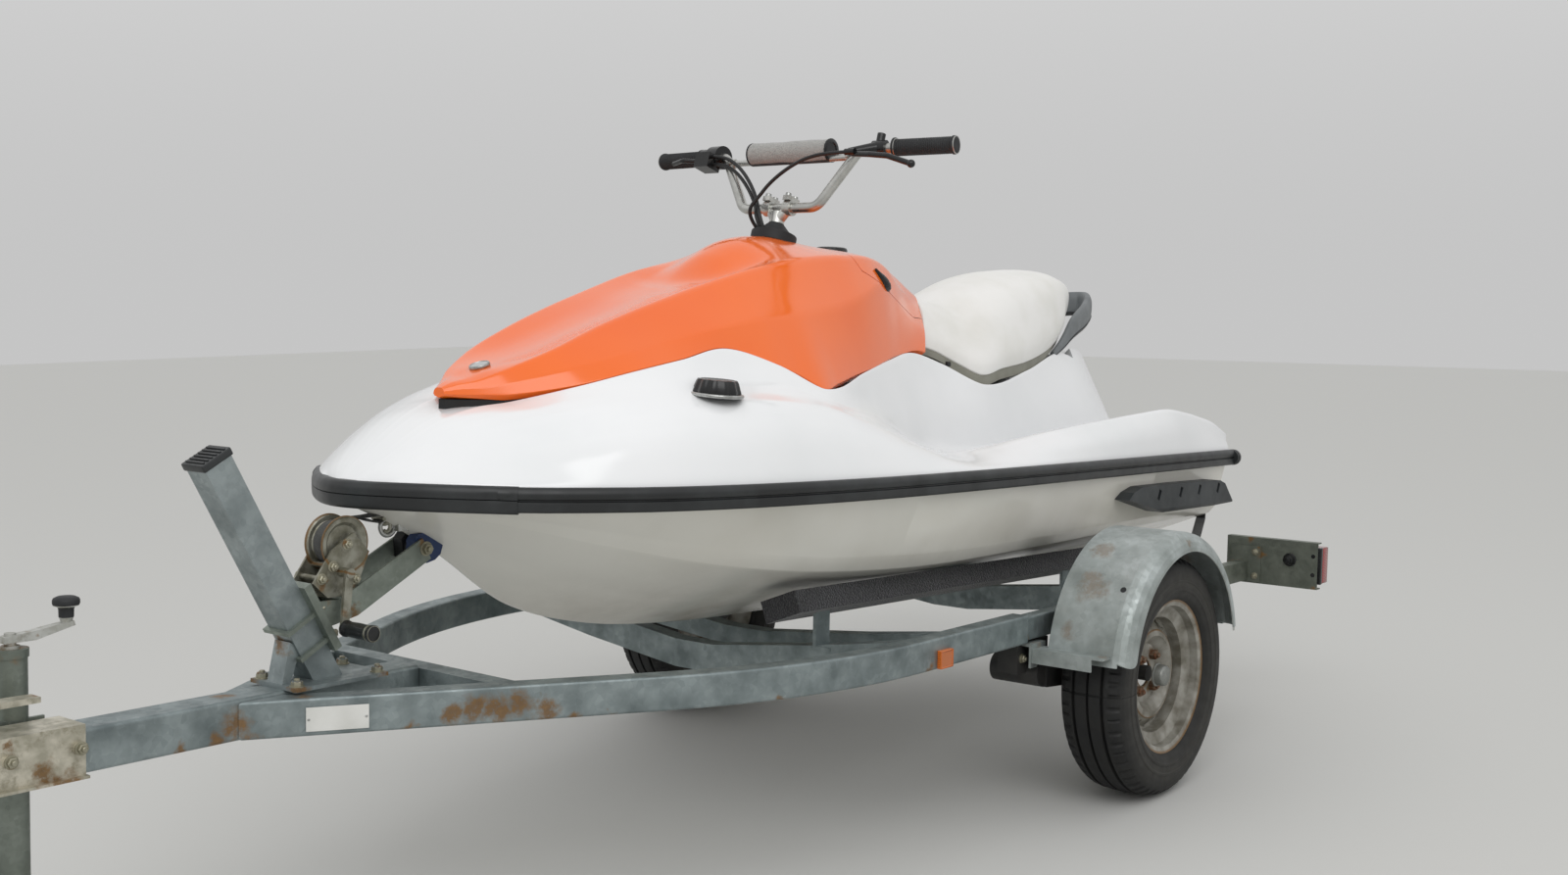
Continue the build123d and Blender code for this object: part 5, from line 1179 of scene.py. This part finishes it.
def bent_bar(line, section):
    """A closed section of (across y, square to the line) points carried along a curve of (u, w) points
    that lies in the plane y = 0."""
    p = evenly(line, 60)
    flat = p[:, None, :] + leftward(p)[:, None, :] * section[None, :, 1:]
    y = np.broadcast_to(section[None, :, :1], flat.shape[:2] + (1,))
    return np.concatenate([flat[..., :1], y, flat[..., 1:]], axis=2)


strap_black = webbing("black polyester webbing", "#1a1b1d", "#33342f", "Y")
half, edge = STRAP_WIDE / 2, STRAP_THICK / 2
flat_section = np.array([(-half, 0), (1 - half, edge), (half - 1, edge), (half, 0), (half - 1, -edge),
                         (1 - half, -edge)])
wound = ringed(DRUM_AT, (0, 1, 0), [(-half - 0.4, DRUM_CORE), (-half - 0.2, WOUND_R - 1), (0, WOUND_R),
                                    (half + 0.2, WOUND_R - 1), (half + 0.4, DRUM_CORE)], 48)
winch_webbing = bundled("winch_webbing", trailer, [bent_bar(STRAP_LINE, flat_section), wound], 50.0)
fitted(winch_webbing, strap_black, "craft_on_trailer", "webbing", "winch_strap")
turn = np.linspace(0.0, 2 * math.pi, 12, endpoint=False)
round_section = HOOK_R * np.stack([np.sin(turn), np.cos(turn)], axis=1)
hook_bar = ringed((HOOK_BAR_U, 0, HOOK_BAR_W), (0, 1, 0), [(-half - 2, HOOK_R), (half + 2, HOOK_R)], 16)
strap_hook = bundled("strap_hook", trailer, [bent_bar(HOOK_LINE, round_section), hook_bar], 50.0)
fitted(strap_hook, winch_zinc, "craft_on_trailer", "zinc", "winch_strap")
tie_black = webbing("narrow black webbing", "#1c1d1f", "#2c2d2c", "DIAGONAL")
dressed(tie_black, "tie_down_port", "tie_down_starboard")

# Two bunks of timber under looped carpet carry the hull. The suspension units are rubber torsion
# tubes painted black, with the swing arm and stub axle outside them.
LOOP_MM, LOOP_HIGH_MM = 4.0, 1.6
carpet, tree, shader, coords = new_material("charcoal loop carpet", IOR=1.5, Sheen_Weight=0.4,
                                            Roughness=0.95)
paint = mottled(tree, coords, "#26262a", "#35353a", 45.0)
loops = add(tree, "ShaderNodeTexVoronoi", {"Scale": 1000.0 / LOOP_MM}, {"Vector": coords})
# darker towards each loop's edge: painted shade in the hollows between the loops
shade = add(tree, "ShaderNodeMix", {7: linear("#141416")}, {0: loops.outputs["Distance"], 6: paint},
            data_type="RGBA")
tree.links.new(shade.outputs[2], shader.inputs["Base Color"])
bump = add(tree, "ShaderNodeBump", {"Distance": LOOP_HIGH_MM / 1000.0, "Strength": 1.0},
           {"Height": loops.outputs["Distance"]}, invert=True)
tree.links.new(bump.outputs[0], shader.inputs["Normal"])
dressed(carpet, "bunk_port", "bunk_starboard")
black_steel = plastic("black chassis paint", "#1c1d1d", "#2b2a28", 5.0, 0.12, 0.45, 0.7)
dressed(black_steel, "suspension_port", "suspension_starboard")

# The tyres are radial road tyres on 12-inch rims: three grooves run round the tread, short sipes cut the
# shoulders, and ribs ring the sidewalls. The rubber has greyed, and dust sits on the sidewalls.
TRACK_HALF = 640.0
TYRE_SECTION = [(156, 54), (165, 57), (168, 64), (176, 71), (186, 74.4), (188, 76), (192, 76), (194, 74.9),
                (206, 75.6), (208, 77), (212, 77), (214, 75.8), (225, 75.2), (238, 72), (247, 67), (253, 60),
                (257, 52), (259, 42)]
TREAD_ROWS = [(259.6, 36.5), (252, 35), (252, 30), (260.2, 28.5), (260.8, 16), (261, 3.2), (253.5, 2),
              (253.5, 0)]
SIPES, SIPE_DEEP, SIPE_SHARE = 60, 4.5, 0.28
SIDES = (("port", 1), ("starboard", -1))


def at_wheel(s):
    """The wheel frame on side s to row frame: zero at the wheel's centre, y outward. The starboard wheel is
    the port one turned half round."""
    return lambda points: (points * [s, s, 1.0] + [AXLE_X, s * TRACK_HALF, WHEEL_R]) / 1000.0


half_tyre = np.array(TYRE_SECTION + TREAD_ROWS, float)
section = np.concatenate([half_tyre, half_tyre[-2::-1] * [1.0, -1.0]])
fine = np.linspace(0.0, 1.0, 4, endpoint=False)[:, None]
section = (section[:-1, None, :] * (1 - fine) + section[1:, None, :] * fine).reshape(-1, 2)
turn = np.linspace(0.0, 2 * math.pi, 361)[:, None]
wave = (turn * SIPES / (2 * math.pi)) % 1.0
# a sipe is as deep as a bump over the shoulder, from 41 to 69 mm off the middle, for a share of each pitch
shoulder = np.clip(1.0 - ((np.abs(section[:, 1]) - 55.0) / 14.0) ** 4, 0.0, 1.0) * (section[:, 0] > 240)
radius = section[:, 0] - SIPE_DEEP * shoulder * (wave < SIPE_SHARE)
across = np.broadcast_to(section[:, 1], radius.shape)
rings = np.stack([radius * np.cos(turn), across, radius * np.sin(turn)], axis=2)
tyre_rubber, tree, shader, coords = new_material("weathered tyre rubber", IOR=1.5)
paint = mottled(tree, coords, "#0f1011", "#191917", 60.0, 0.35, 0.7, 6.0)
centre = (AXLE_X / 1000.0, 0.0, WHEEL_R / 1000.0)
wall = by_circle(tree, coords, centre, 0.205, 0.045)
speck = add(tree, "ShaderNodeTexNoise", {"Scale": 45.0, "Detail": 8.0, "Roughness": 0.7},
            {"Vector": coords})
dust = add(tree, "ShaderNodeMath", None, {0: wall, 1: speck.outputs["Fac"]}, operation="MULTIPLY")
mix = add(tree, "ShaderNodeMix", {7: linear("#3d3b35")}, {0: dust.outputs[0], 6: paint}, data_type="RGBA")
tree.links.new(mix.outputs[2], shader.inputs["Base Color"])
worn_roughness(tree, shader, coords, 25.0, 0.55, 0.8)
grained(tree, shader, coords, 1.8, 0.12)
for side, s in SIDES:
    tyre = bundled("tyre_tread_" + side, at_wheel(s), [rings], 30.0)
    fitted(tyre, tyre_rubber, side + "_wheel", "tyre_rubber", "tyre_" + side)

# The wheels are pressed steel discs welded into rolled rims, with sixteen slots, sprayed silver. Rust has
# come through at the flange, the hub and the nuts. A pressed cap keeps the bearing's grease in.
NUT_CIRCLE_R, HUB_R, SLOTS_R, FLANGE_R = 49.0, 27.0, 96.0, 167.0
nut_turn = math.pi / 4 + math.pi / 2 * np.arange(4)
nut_places = NUT_CIRCLE_R * np.stack([np.cos(nut_turn), 0 * nut_turn, np.sin(nut_turn)], axis=1)
wheel_paint, tree, shader, coords = new_material("silver wheel enamel", Metallic=0.35)
paint = mottled(tree, coords, "#a19f97", "#6f6b60", 34.0, 0.36, 0.66, 8.0)
# the two wheels share their rust, so its places are read in the plane of the disc
flat = add(tree, "ShaderNodeVectorMath", {1: (1.0, 0.0, 1.0)}, {0: coords}, operation="MULTIPLY").outputs[0]
near = nearness(tree, flat, [(tuple((at + [AXLE_X, 0, WHEEL_R]) / 1000.0), 0.020) for at in nut_places])
near = near_circles(tree, coords, near, [(centre, FLANGE_R / 1000.0, 0.008), (centre, HUB_R / 1000.0, 0.012),
                                         (centre, SLOTS_R / 1000.0, 0.003)])
rusted(tree, shader, coords, paint, near, 0.35, 7.0)
worn_roughness(tree, shader, coords, 12.0, 0.32, 0.5)
grained(tree, shader, coords, 2.5, 0.06)
dressed(wheel_paint, "wheel_port", "wheel_starboard")
nut_steel = surfaced("rusty wheel nuts", "#7d6a58", "#6a3f24", 7.0, (4.0, 0.5, 0.75), (1.5, 0.12),
                     Metallic=0.4)
cap_zinc = galvanised("pressed grease cap", "#9a9c98", "#7f817d", [(centre, 0.02)], 6.0)
OUTWARD = (0, 1, 0)
nuts = []
for at in nut_places:
    nuts += [ringed(at, OUTWARD, [(0, 11.2), (13.5, 11.2), (15.6, 9.2)], 6),
             ringed(at, OUTWARD, [(13, 5.5), (20, 5.5), (21, 4.6)], 20)]
grease_cap = ringed((0, 0, 0), OUTWARD, [(31, 25.5), (34, 25.5), (35, 23.4), (49, 23.0), (53, 21), (55.4, 15),
                                         (56.2, 2)], 48)
stem = between((128, 4, 0), (124, 34, 0), [(-4, 6.5), (2, 6.0), (14, 4.6), (22, 4.2), (22.5, 5.0),
                                           (30, 5.0), (31, 4.0)], 20)
for side, s in SIDES:
    body = side + "_wheel"
    fitted(bundled("wheel_nuts_" + side, at_wheel(s), nuts, 25.0), nut_steel, body, "zinc")
    fitted(bundled("grease_cap_" + side, at_wheel(s), [grease_cap], 50.0), cap_zinc, body, "zinc")
    fitted(bundled("valve_stem_" + side, at_wheel(s), [stem], 50.0), soft_rubber, body, "grip_rubber")

# The mudguards are rolled steel, galvanised after their outer rim was turned over, and bolted to flat
# brackets on the rail. Rust runs down from the crown, and the rim's zinc has been rubbed bright.
GUARD_R, GUARD_W = 286.0, 30.0
LIP_R, LIP_V, LIP_HIGH, LIP_WIDE = 250.0, 740.2, 4.6, 1.6
HOLE_V, HOLE_TURN, HOLE_R = 694, math.radians(40.0), 6.5
GUARD_RUST = [((220, 630, 205), 44), ((200, 622, 226), 34), ((142, 602, 274), 36), ((267, 600, 121), 30),
              ((-200, 640, 226), 34), ((-268, 600, 110), 30), ((0, 738, 290), 18), ((292, 541, 84), 18),
              ((292, 690, 80), 24)]


def both_hands(rust):
    """Rust spots of the port side with their mirror images."""
    return spots_at(rust + [((u, -v, w), reach) for (u, v, w), reach in rust])


guard_spots = both_hands(GUARD_RUST)
guard_zinc = galvanised("galvanised guard sheet", "#bcc3c2", "#949b98", guard_spots, 12.0, 0.46, 0.66, 0.5)
dressed(guard_zinc, "mudguard_port", "mudguard_starboard")
rim_zinc = galvanised("rubbed zinc rim", "#c9ccc8", "#b3b6b1", guard_spots[:2], 6.0, 0.36, 0.5)
turn = np.linspace(math.radians(15.0), math.radians(170.0), 90)[:, None]
bead = np.linspace(0.0, 2 * math.pi, 12, endpoint=False)[None, :]
r = LIP_R + LIP_HIGH * np.cos(bead)
out = np.array([math.cos(HOLE_TURN), 0.0, math.sin(HOLE_TURN)])
for side, s in SIDES:
    y = s * (LIP_V + LIP_WIDE * np.sin(bead)) + 0 * turn
    lip = np.stack([r * np.cos(turn), y, GUARD_W + r * np.sin(turn)], axis=2)
    fitted(bundled("guard_lip_" + side, trailer, [lip], 60.0), rim_zinc, "craft_on_trailer", "guard_steel")
    hole = ringed(out * GUARD_R + [0, s * HOLE_V, GUARD_W], out, [(-0.6, HOLE_R), (0.4, HOLE_R)], 32)
    fitted(bundled("guard_hole_" + side, trailer, [hole], 40.0), soft_rubber, "craft_on_trailer",
           "black_plastic")

# The lamp boards are folded galvanised trays across the trailer's ends. Each carries a moulded rear lamp,
# red outboard and amber inboard over a black base, a bulb socket, and two holes for straps.
RIB_ACROSS_MM = 4.0


def lens(name, colour, other):
    """Moulded acrylic, dyed through: glossy, with ribs inside that show as soft bands."""
    material, tree, shader, coords = new_material(name, IOR=1.49, Coat_Weight=0.5, Coat_Roughness=0.05)
    rib = add(tree, "ShaderNodeTexWave", {"Scale": wave_scale(RIB_ACROSS_MM), "Distortion": 0.1},
              {"Vector": coords}, bands_direction="Z")
    mix = add(tree, "ShaderNodeMix", {6: linear(colour), 7: linear(other)}, {0: rib.outputs["Fac"]},
              data_type="RGBA")
    tree.links.new(mix.outputs[2], shader.inputs["Base Color"])
    bump = add(tree, "ShaderNodeBump", {"Distance": 0.0006, "Strength": 1.0}, {"Height": rib.outputs["Fac"]})
    tree.links.new(bump.outputs[0], shader.inputs["Normal"])
    worn_roughness(tree, shader, coords, 20.0, 0.12, 0.24)
    return material


LAMP_BACK, LAMP_FACE, LAMP_LOW, LAMP_HIGH = -842.0, -893.0, 107.0, 199.0
LAMP_IN, LAMP_MIDDLE, LAMP_OUT, JOINT = 595.0, 656.0, 717.0, 0.5
HOLES_V, HOLES_W, SOCKET_V, SOCKET_W = 697, (177, 129), 636, 163
BOARD_RUST = [((-840, 560, 174), 18), ((-840, 494, 133), 34), ((-840, 470, 96), 24), ((-836, 700, 96), 18),
              ((-600, 530, 128), 30), ((-840, 530, 208), 16)]
# the boards' zinc is drawn darker than the frame's: painted shade, as the boards stand in shadow
board_zinc = galvanised("galvanised board sheet", "#878c82", "#6a6f66", both_hands(BOARD_RUST), 10.0, 0.45,
                        0.65)
dressed(board_zinc, "lamp_board_port", "lamp_board_starboard")
red_lens = lens("red acrylic", "#9c1410", "#7d0d0b")
amber_lens = lens("amber acrylic", "#d9711a", "#b95a12")
LENSES = [("red", red_lens, "lamp", LAMP_MIDDLE + JOINT, LAMP_OUT),
          ("amber", amber_lens, "amber", LAMP_IN, LAMP_MIDDLE - JOINT)]
for side, s in SIDES:
    for name, material, slot, v0, v1 in LENSES:
        block = soft_block((LAMP_FACE, LAMP_BACK - 10), (s * v0, s * v1), (LAMP_LOW, LAMP_HIGH), 6.0)
        piece = bundled("lamp_" + name + "_" + side, trailer, [block], 50.0)
        fitted(piece, material, "craft_on_trailer", slot)
    base = [soft_block((LAMP_BACK - 11, LAMP_BACK + 2), (s * (LAMP_IN - 1), s * (LAMP_OUT + 1)),
                       (LAMP_LOW - 1, LAMP_HIGH + 1), 3.0)]
    # the two holes for straps, and the bulb's socket
    base += [ringed((-840.2, s * HOLES_V, w), (1, 0, 0), [(0, 5.5), (0.5, 5.5)], 24) for w in HOLES_W]
    base.append(ringed((-840, s * SOCKET_V, SOCKET_W), (1, 0, 0), [(0, 17), (3, 17), (4, 13.5), (15, 12.5),
                                                                   (16, 9), (22, 8.5), (23, 6)], 32))
    fitted(bundled("lamp_base_" + side, trailer, base, 40.0), glossy_black, "craft_on_trailer",
           "black_plastic")

# An amber reflector is screwed to each rail ahead of the wheel. Its back face is moulded in small prisms
# that show through the lens as a fine grid.
PRISM_MM = 3.0
prisms, tree, shader, coords = new_material("amber prism reflector", IOR=1.49, Coat_Weight=0.6,
                                            Coat_Roughness=0.05)
cell = add(tree, "ShaderNodeTexChecker", {"Scale": 1000.0 / PRISM_MM, "Color1": linear("#d06f1d"),
                                          "Color2": linear("#a9530f")}, {"Vector": coords})
tree.links.new(cell.outputs["Color"], shader.inputs["Base Color"])
worn_roughness(tree, shader, coords, 10.0, 0.12, 0.25)
bump = add(tree, "ShaderNodeBump", {"Distance": 0.0005, "Strength": 1.0}, {"Height": cell.outputs["Fac"]})
tree.links.new(bump.outputs[0], shader.inputs["Normal"])
dressed(prisms, "side_reflector_port", "side_reflector_starboard")
REFLECTOR_U, REFLECTOR_V, REFLECTOR_W, FRAME_HALF = (632.0, 672.0), (535.5, 545.5), (98.0, 130.0), 1.6
frames = []
for s in (1, -1):
    v = (s * REFLECTOR_V[0], s * REFLECTOR_V[1])
    for w in REFLECTOR_W:
        frames.append(soft_block((REFLECTOR_U[0] - 1, REFLECTOR_U[1] + 1), v,
                                 (w - FRAME_HALF, w + FRAME_HALF), 1.2))
    for u in REFLECTOR_U:
        frames.append(soft_block((u - FRAME_HALF, u + FRAME_HALF), v,
                                 (REFLECTOR_W[0] - 1, REFLECTOR_W[1] + 1), 1.2))
reflector_frames = bundled("reflector_frames", trailer, frames, 40.0)
fitted(reflector_frames, amber_lens, "craft_on_trailer", "amber")

# The coupling is a steel pressing that is zinc plated in pale yellow and bolted through the drawbar. The
# jack beside it has a galvanised tube, a bright ram, and a crank whose arm was plated.
COUPLING_RUST = [((2175, 36, 112), 34), ((2150, 40, 96), 24), ((2224, 40, 150), 14), ((2280, 0, 212), 20),
                 ((2168, 0, 206), 16), ((2390, 20, 150), 24)]
JACK_U, JACK_V, KNOB_U = 2167.0, -66.0, 2083.0
JACK_RUST = [((JACK_U, JACK_V, 264), 30), ((JACK_U, JACK_V, 236), 18), ((JACK_U, JACK_V + 25, 110), 30)]
CRANK_RUST = [((JACK_U, JACK_V, 272), 20), ((JACK_U - 30, JACK_V, 284), 10)]
coupling_zinc = plated("pale zinc plate", "#cfcabb", "#a9a595", "#8b8571", spots_at(COUPLING_RUST))
dressed(coupling_zinc, "coupling")
jack_zinc = galvanised("galvanised jack tube", "#8b928a", "#6b726a", spots_at(JACK_RUST), 7.0, 0.4, 0.6)
dressed(jack_zinc, "jack_tube")
crank_zinc = plated("bright crank plate", "#c4c5c1", "#a5a59d", "#8a867a", spots_at(CRANK_RUST))
dressed(crank_zinc, "jack_crank")
dressed(steel, "jack_ram")
KNOB = [(303, 8.5), (304.5, 10.6), (316, 10.8), (320, 12.5), (322.5, 18.4), (325, 19.2), (329, 19.2),
        (332, 17.8), (334.6, 12.5), (335.2, 2)]
knob = ringed((KNOB_U, JACK_V, 0), (0, 0, 1), KNOB, 40)
fitted(bundled("jack_knob", trailer, [knob], 50.0), soft_rubber, "craft_on_trailer", "grip_rubber")

# The floor, the light and the backdrop are a plain studio.
FLOOR_HALF, FLOOR_Z = 20, -0.001
stage_material, tree, shader, coords = new_material("studio floor", Roughness=0.9)
shader.inputs["Base Color"].default_value = linear("#cbcbc8")
floor_corners = [(x * FLOOR_HALF, y * FLOOR_HALF, FLOOR_Z) for x, y in ((-1, -1), (1, -1), (1, 1), (-1, 1))]
floor = mesh_object("floor", floor_corners, [(0, 1, 2, 3)])
floor.data.materials.append(stage_material)
HORIZON, OVERHEAD = 0.56, 0.84
world = bpy.data.worlds.new("studio")
bpy.context.scene.world = world
world.use_nodes = True
tree = world.node_tree
back = tree.nodes["Background"]
back.inputs["Color"].default_value = linear("#ffffff")
# a soft sky, brighter overhead than at eye level, where it is as light as the floor is
way = add(tree, "ShaderNodeTexCoord").outputs["Generated"]
up = add(tree, "ShaderNodeSeparateXYZ", None, {"Vector": way}).outputs["Z"]
span = {"From Min": 0.0, "From Max": 0.55, "To Min": HORIZON, "To Max": OVERHEAD}
glow = add(tree, "ShaderNodeMapRange", span, {"Value": up}, interpolation_type="SMOOTHSTEP")
tree.links.new(glow.outputs[0], back.inputs["Strength"])
lamp = bpy.data.lights.new("key", "AREA")
lamp.shape = "RECTANGLE"
lamp.size, lamp.size_y = 5.0, 3.0
lamp.energy = 98.0
key = bpy.data.objects.new("key", lamp)
bpy.context.collection.objects.link(key)
key.location = (3.0, 3.2, 4.6)
key.rotation_mode = "QUATERNION"
key.rotation_quaternion = (Vector((-0.2, 0.0, 0.6)) - key.location).to_track_quat("-Z", "Y")
bpy.context.scene.view_settings.view_transform = "Standard"
